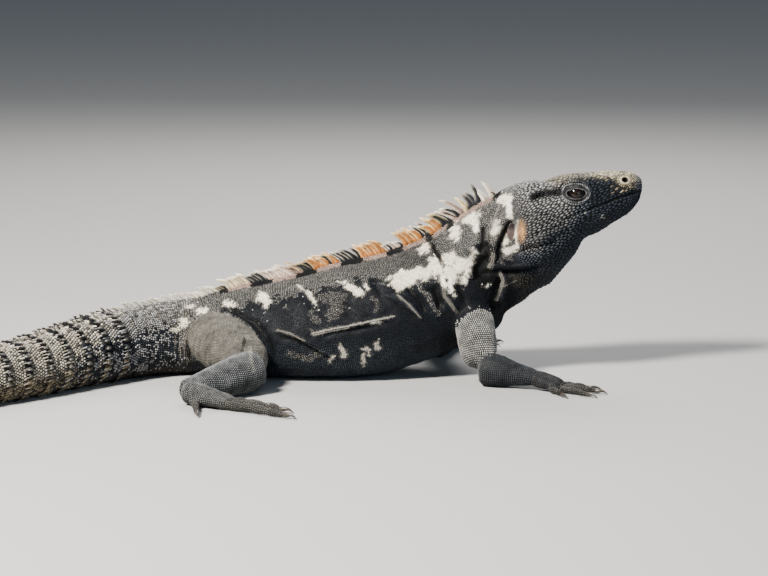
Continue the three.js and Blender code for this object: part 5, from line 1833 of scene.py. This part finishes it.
# inside, the lid runs back under itself: share of the way out, and depth behind its face
LID_INSIDE = [(0.9, 4.0), (0.3, 3.2), (-0.03, 1.2)]
lid_beads = []
for side, hand in SIDES.items():
    centre = EYE_CENTRE * (1, hand, 1)
    bm = bmesh.new()
    bmesh.ops.create_uvsphere(bm, u_segments=64, v_segments=40, radius=EYE_RADIUS / 1000)
    bmesh.ops.rotate(bm, verts=bm.verts, cent=(0, 0, 0), matrix=Matrix.Rotation(math.pi / 2, 3, "X"))
    gaze = bm.verts.layers.float_vector.new("gaze")
    for vert in bm.verts:
        # the clear window of the eye bulges a little
        off = math.hypot(vert.co.x, vert.co.z) * 1000
        front = vert.co.y * hand > 0
        vert[gaze] = (vert.co.x * 1000 / 4.2, vert.co.z * 1000 / 4.2, 0) if front else (2, 2, 0)
        if front:
            vert.co.y += hand * 0.0006 * max(0, 1 - (off / 4.6) ** 2)
    bmesh.ops.translate(bm, verts=bm.verts, vec=metres(centre))
    eyeball = smooth_object(bm, f"eyeball_{side}")
    eyeball.data.materials.append(wet_eye)
    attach(eyeball, "root")
    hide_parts(f"eye_{side}")

    rings, lid_highlight = [], []
    around_lid = np.linspace(0, 2 * math.pi, 97)[:-1]
    for share in LID_SHARES:
        raised = 0.15 if share > 0 else -0.4
        reliefs = [lid_relief(share, angle) for angle in around_lid]
        rings.append([lid_place(share, a, hand, relief + raised) for a, relief in zip(around_lid, reliefs)])
        # painted highlight: the raised rings of the lids are paler, unevenly round the eye
        lid_highlight.append([past(relief, 0.2, 0.55) * (0.55 + 0.45 * math.sin(3 * a + 7 * share))
                     for a, relief in zip(around_lid, reliefs)])
    for share, inwards in LID_INSIDE:
        rings.append([lid_place(share, angle, hand, -inwards) for angle in around_lid])
        lid_highlight.append([0.0] * len(around_lid))
    rolled, lights = closed_on_itself(np.array(rings)), closed_on_itself(np.array(lid_highlight))
    bm = bmesh.new()
    tone = bm.verts.layers.float_color.new("tone")
    rows, columns = lights.shape
    made = bmesh.ops.create_grid(bm, x_segments=columns - 1, y_segments=rows - 1, size=1)["verts"]
    for vert, place, light in zip(made, rolled.reshape(-1, 3), lights.ravel()):
        vert.co = metres(place)
        vert[tone] = shaded(LID_DARK, LID_PALE, light)
    bmesh.ops.remove_doubles(bm, verts=bm.verts, dist=1e-7)
    lids = smooth_object(bm, f"eyelids_{side}")
    lids.data.materials.append(lid_skin)
    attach(lids, "root")

    for row, (share, number) in enumerate(LID_ROWS):
        for angle in (np.arange(number) + 0.5 * (row % 2)) / number * 2 * math.pi:
            place, outer, beside = (lid_place(s, a, hand, lid_relief(s, a) + 0.12) for s, a in (
                (share, angle), (share + 0.03, angle), (share, angle + 0.03)))
            up = unit(np.cross(outer - place, beside - place))
            up = up * (1 if up[1] * hand > 0 else -1)
            # painted highlight: granules on the raised rings and in the outer rows are paler
            light = smooth_step((lid_relief(share, angle) - 0.1) / 0.6) * (0.4 + 0.6 * (share > 0.7))
            lid_beads.append((place, up, unit(outer - place), light))

beads, bead_up, bead_lie, bead_light = (np.array(values) for values in zip(*lid_beads))
count = len(beads)
bead_size = np.array([1.0, 1.05, 0.42]) * (1 + 0.15 * chance.uniform(-1, 1, (count, 3)))
bead_lit = mix(np.tile(BEAD_DARK, (count, 1)), BEAD_PALE, bead_light)
bead_lit = bead_lit * (0.55 + 0.7 * chance.random((count, 1)))
eyelid_scales = dict(name="eyelid_scales", pattern=cobble, spots=beads, up=bead_up,
                     lie=flat_on(bead_up, bead_lie), size=bead_size, lit=bead_lit, deep=bead_lit * 0.2,
                     chart=np.stack([np.linspace(0, 0.98, count), np.full(count, 0.4)], 1))
lay_scales(**eyelid_scales, horn=body_horn)

# ---- nostrils and ears --------------------------------------------------------------
# The nostril is a round opening in one raised, sandy scale, spun round from its profile. The
# ear drum is thin smooth skin at the bottom of an upright opening behind the jaw.
drum_skin = horny_finish("ear_drum_skin", (0.28, 0.45), relief=0.05)
NOSTRIL_DARK, NOSTRIL_PALE = np.array([0.006, 0.006, 0.006]), np.array([0.42, 0.36, 0.25])
DRUM_PALE, DRUM_DARK = np.array([0.085, 0.066, 0.062]), np.array([0.012, 0.008, 0.010])
# radius, level and lightness, from the bottom of the opening over its rim and down outside
NOSTRIL_PROFILE = [(0.0, -2.3, 0), (0.9, -2.1, 0), (1.35, -1.2, 0), (1.55, -0.1, 0.05), (1.75, 0.45, 0.7),
                   (2.15, 0.72, 1), (2.6, 0.6, 0.9), (3.0, 0.1, 0.6), (3.3, -0.9, 0.4), (2.6, -2.6, 0.3),
                   (0.0, -3.0, 0)]
for side, hand in SIDES.items():
    depth = outline_depth(*NOSTRIL, hand)
    facing = Vector((0.22, hand * 0.86, 0.46)).normalized()
    turn = facing.to_track_quat("Z", "Y").to_matrix()
    bm = bmesh.new()
    tone = bm.verts.layers.float_color.new("tone")
    line = []
    for radius, level, light in NOSTRIL_PROFILE:
        vert = bm.verts.new((radius / 1000, 0, level / 1000))
        vert[tone] = shaded(NOSTRIL_DARK, NOSTRIL_PALE, light)
        line.append(vert)
    for a, b in zip(line[:-1], line[1:]):
        bm.edges.new((a, b))
    bmesh.ops.spin(bm, geom=bm.verts[:] + bm.edges[:], cent=(0, 0, 0), axis=(0, 0, 1), angle=2 * math.pi,
                   steps=32, use_merge=True)
    bmesh.ops.remove_doubles(bm, verts=bm.verts, dist=1e-7)
    bmesh.ops.scale(bm, verts=bm.verts, vec=(1.42, 1.2, 1.1))
    bmesh.ops.rotate(bm, verts=bm.verts, cent=(0, 0, 0), matrix=turn)
    bmesh.ops.translate(bm, verts=bm.verts, vec=metres((NOSTRIL[0], hand * (depth - 0.35), NOSTRIL[1])))
    rim = smooth_object(bm, f"nostril_{side}")
    rim.data.materials.append(lid_skin)
    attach(rim, "root")

    # the drum is a flat oval, dished on its outer face
    drum_y = hand * (outline_depth(*EAR, hand) - 2.4)
    bm = bmesh.new()
    tone = bm.verts.layers.float_color.new("tone")
    bmesh.ops.create_uvsphere(bm, u_segments=40, v_segments=28, radius=1)
    for vert in bm.verts:
        x, y, z = vert.co
        dark = smooth_step(np.array([(z - 0.15) / 0.5]))[0] * 0.85
        vert[tone] = shaded(DRUM_PALE, DRUM_DARK, dark)
        dish = 0.45 * math.exp(-(x * x + z * z) / 0.4) * (y * hand > 0)
        vert.co = metres((EAR[0] + 3.4 * x, drum_y + (1.0 * y - hand * dish), EAR[1] + 7.2 * z))
    drum = smooth_object(bm, f"ear_drum_{side}")
    drum.data.materials.append(drum_skin)
    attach(drum, "root")
    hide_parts(f"ear_{side}")

# ---- claws --------------------------------------------------------------------------
# Thin hooked sheaths of dark horn, rooted in the last scale of every digit and resting on the
# floor.
claw_horn, tree, shader = node_tree("claw_horn")
streaks = spread(tree, grain_of(tree, 1.2), 0.0, 1.0)
ramp = tree.nodes.new("ShaderNodeValToRGB")
ramp.color_ramp.elements[0].color = (0.012, 0.010, 0.009, 1)
ramp.color_ramp.elements[1].color = (0.07, 0.055, 0.042, 1)
tree.links.new(streaks, ramp.inputs["Fac"])
tree.links.new(ramp.outputs["Color"], shader.inputs["Base Color"])
tree.links.new(spread(tree, grain_of(tree, 0.6), 0.24, 0.42), shader.inputs["Roughness"])

# along the claw: share of its reach, height and half width as shares of the digit's thickness
CLAW_COURSE = [(-0.3, 0.75, 0.5), (0.1, 0.95, 0.52), (0.45, 0.98, 0.36), (0.8, 0.62, 0.2), (1.03, 0.12, 0.05)]
LOWEST = 0.00002
bm = bmesh.new()
for part, reach in (("hand", 7.0), ("foot", 8.0)):
    for side in SIDES:
        for digit in digits[f"{part}_{side}"]:
            thick = digit["thick"]
            line = [(*outwards(digit["tip"], digit["bearing"], share * reach), level * thick)
                    for share, level, _ in CLAW_COURSE]
            sheath = Limb(line, [(thick * half, thick * half * 1.15) for _, _, half in CLAW_COURSE])
            add_tube(bm, sheath.place(np.linspace(0, 1, 22)[:, None], equal_angles(14)))
for vert in bm.verts:
    vert.co.z = max(vert.co.z, LOWEST)
claws = smooth_object(bm, "claws")
claws.data.materials.append(claw_horn)
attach(claws, "root")
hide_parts(*(f"claw_{part}_{side}_{k}" for part in ("hand", "foot") for side in ("right", "left")
                     for k in range(1, 6)))

# ---- the hide: finish ---------------------------------------------------------------
# Bare skin shows only in the grooves between scales, in the folds and round the lids: it has
# the markings of the scales over it, darker and matt. It is thinned to the triangles it needs.
HIDE_TRIANGLES = 185000
EYE_HOLLOW = (0.012, 0.011, 0.011)
thinned = hide.modifiers.new("thinned", "DECIMATE")
thinned.ratio = HIDE_TRIANGLES / sum(len(polygon.vertices) - 2 for polygon in hide.data.polygons)
apply_modifiers(hide)
skin = read_places(hide.data)
skin[:, 2] = np.maximum(skin[:, 2], 0)
write_places(hide.data, skin)
all_coats = [*coats, fold_rows, *limb_coats, *tail_coats, tail_spines, crest, eyelid_scales]
rooted = tree_of(np.concatenate([coat["spots"] for coat in all_coats]))
rooted_tone = np.concatenate([coat["deep"] for coat in all_coats])
nearest = np.array([[found[1] for found in rooted.find_n(place, 3)] for place in skin])
colours = rooted_tone[nearest].mean(1)
in_hollow = (eye_share(skin) < 0.97) & (np.abs(skin[:, 1]) > 5) & (skin[:, 0] > 120)
colours[in_hollow] = EYE_HOLLOW
paint(hide.data, colours)
for polygon in hide.data.polygons:
    polygon.use_smooth = True


bare_skin = horny_finish("bare_skin", (0.5, 0.75), fine=0.5, relief=0.14)

hide.data.materials.append(bare_skin)
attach(hide, "root")
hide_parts("head", "lower_jaw", "neck", "trunk", "tail_1", "tail_2", "tail_3", "tail_4",
            *(f"{part}_{side}" for side in ("right", "left")
              for part in ("upper_arm", "forearm", "hand", "thigh", "shank", "foot")))

# ---- floor, light and camera --------------------------------------------------------
# A plain pale studio floor, a soft key light from the upper left in front, a weak cool fill
# from the right and a rim light from behind. The camera looks at the animal's right side.
TARGET = np.array([0, 0, 61.2])
DISTANCE, ELEVATION = 2073, math.radians(9)


def look_at(item, eye, target):
    item.location = metres(eye)
    item.rotation_euler = Vector(metres(target) - metres(eye)).to_track_quat("-Z", "Y").to_euler()


lens = bpy.data.cameras.new("camera")
lens.lens, lens.sensor_width = 135, 36
lens.clip_end = 20
camera = bpy.data.objects.new("camera", lens)
bpy.context.scene.collection.objects.link(camera)
look_at(camera, TARGET + DISTANCE * np.array([0, -math.cos(ELEVATION), math.sin(ELEVATION)]), TARGET)
bpy.context.scene.camera = camera


def soft_light(name, eye, target, width, watts, colour):
    light = bpy.data.lights.new(name, "AREA")
    light.size, light.energy, light.color = width, watts, colour
    lamp = bpy.data.objects.new(name, light)
    bpy.context.scene.collection.objects.link(lamp)
    look_at(lamp, np.array(eye, float), np.array(target, float))


soft_light("key", (-820, -900, 1250), (0, 0, 60), 0.3, 105, (1.0, 0.965, 0.915))
soft_light("fill", (1000, -1200, 260), (60, 0, 60), 1.2, 7, (0.5, 0.73, 1.0))
soft_light("rim", (100, 1200, 1100), (0, 0, 60), 0.9, 20, (1.0, 0.98, 0.95))

bm = bmesh.new()
bmesh.ops.create_grid(bm, x_segments=1, y_segments=1, size=6)
bmesh.ops.translate(bm, verts=bm.verts, vec=(0, 2, 0))
floor = object_of(bm, "floor")
floor_finish = bpy.data.materials.new("floor")
floor_finish.use_nodes = True
shader = floor_finish.node_tree.nodes["Principled BSDF"]
shader.inputs["Base Color"].default_value = (0.42, 0.408, 0.392, 1)
shader.inputs["Roughness"].default_value = 0.7
floor.data.materials.append(floor_finish)

world = bpy.data.worlds.new("studio")
world.use_nodes = True
world.node_tree.nodes["Background"].inputs["Color"].default_value = (0.68, 0.82, 1.0, 1)
world.node_tree.nodes["Background"].inputs["Strength"].default_value = 0.2
bpy.context.scene.world = world
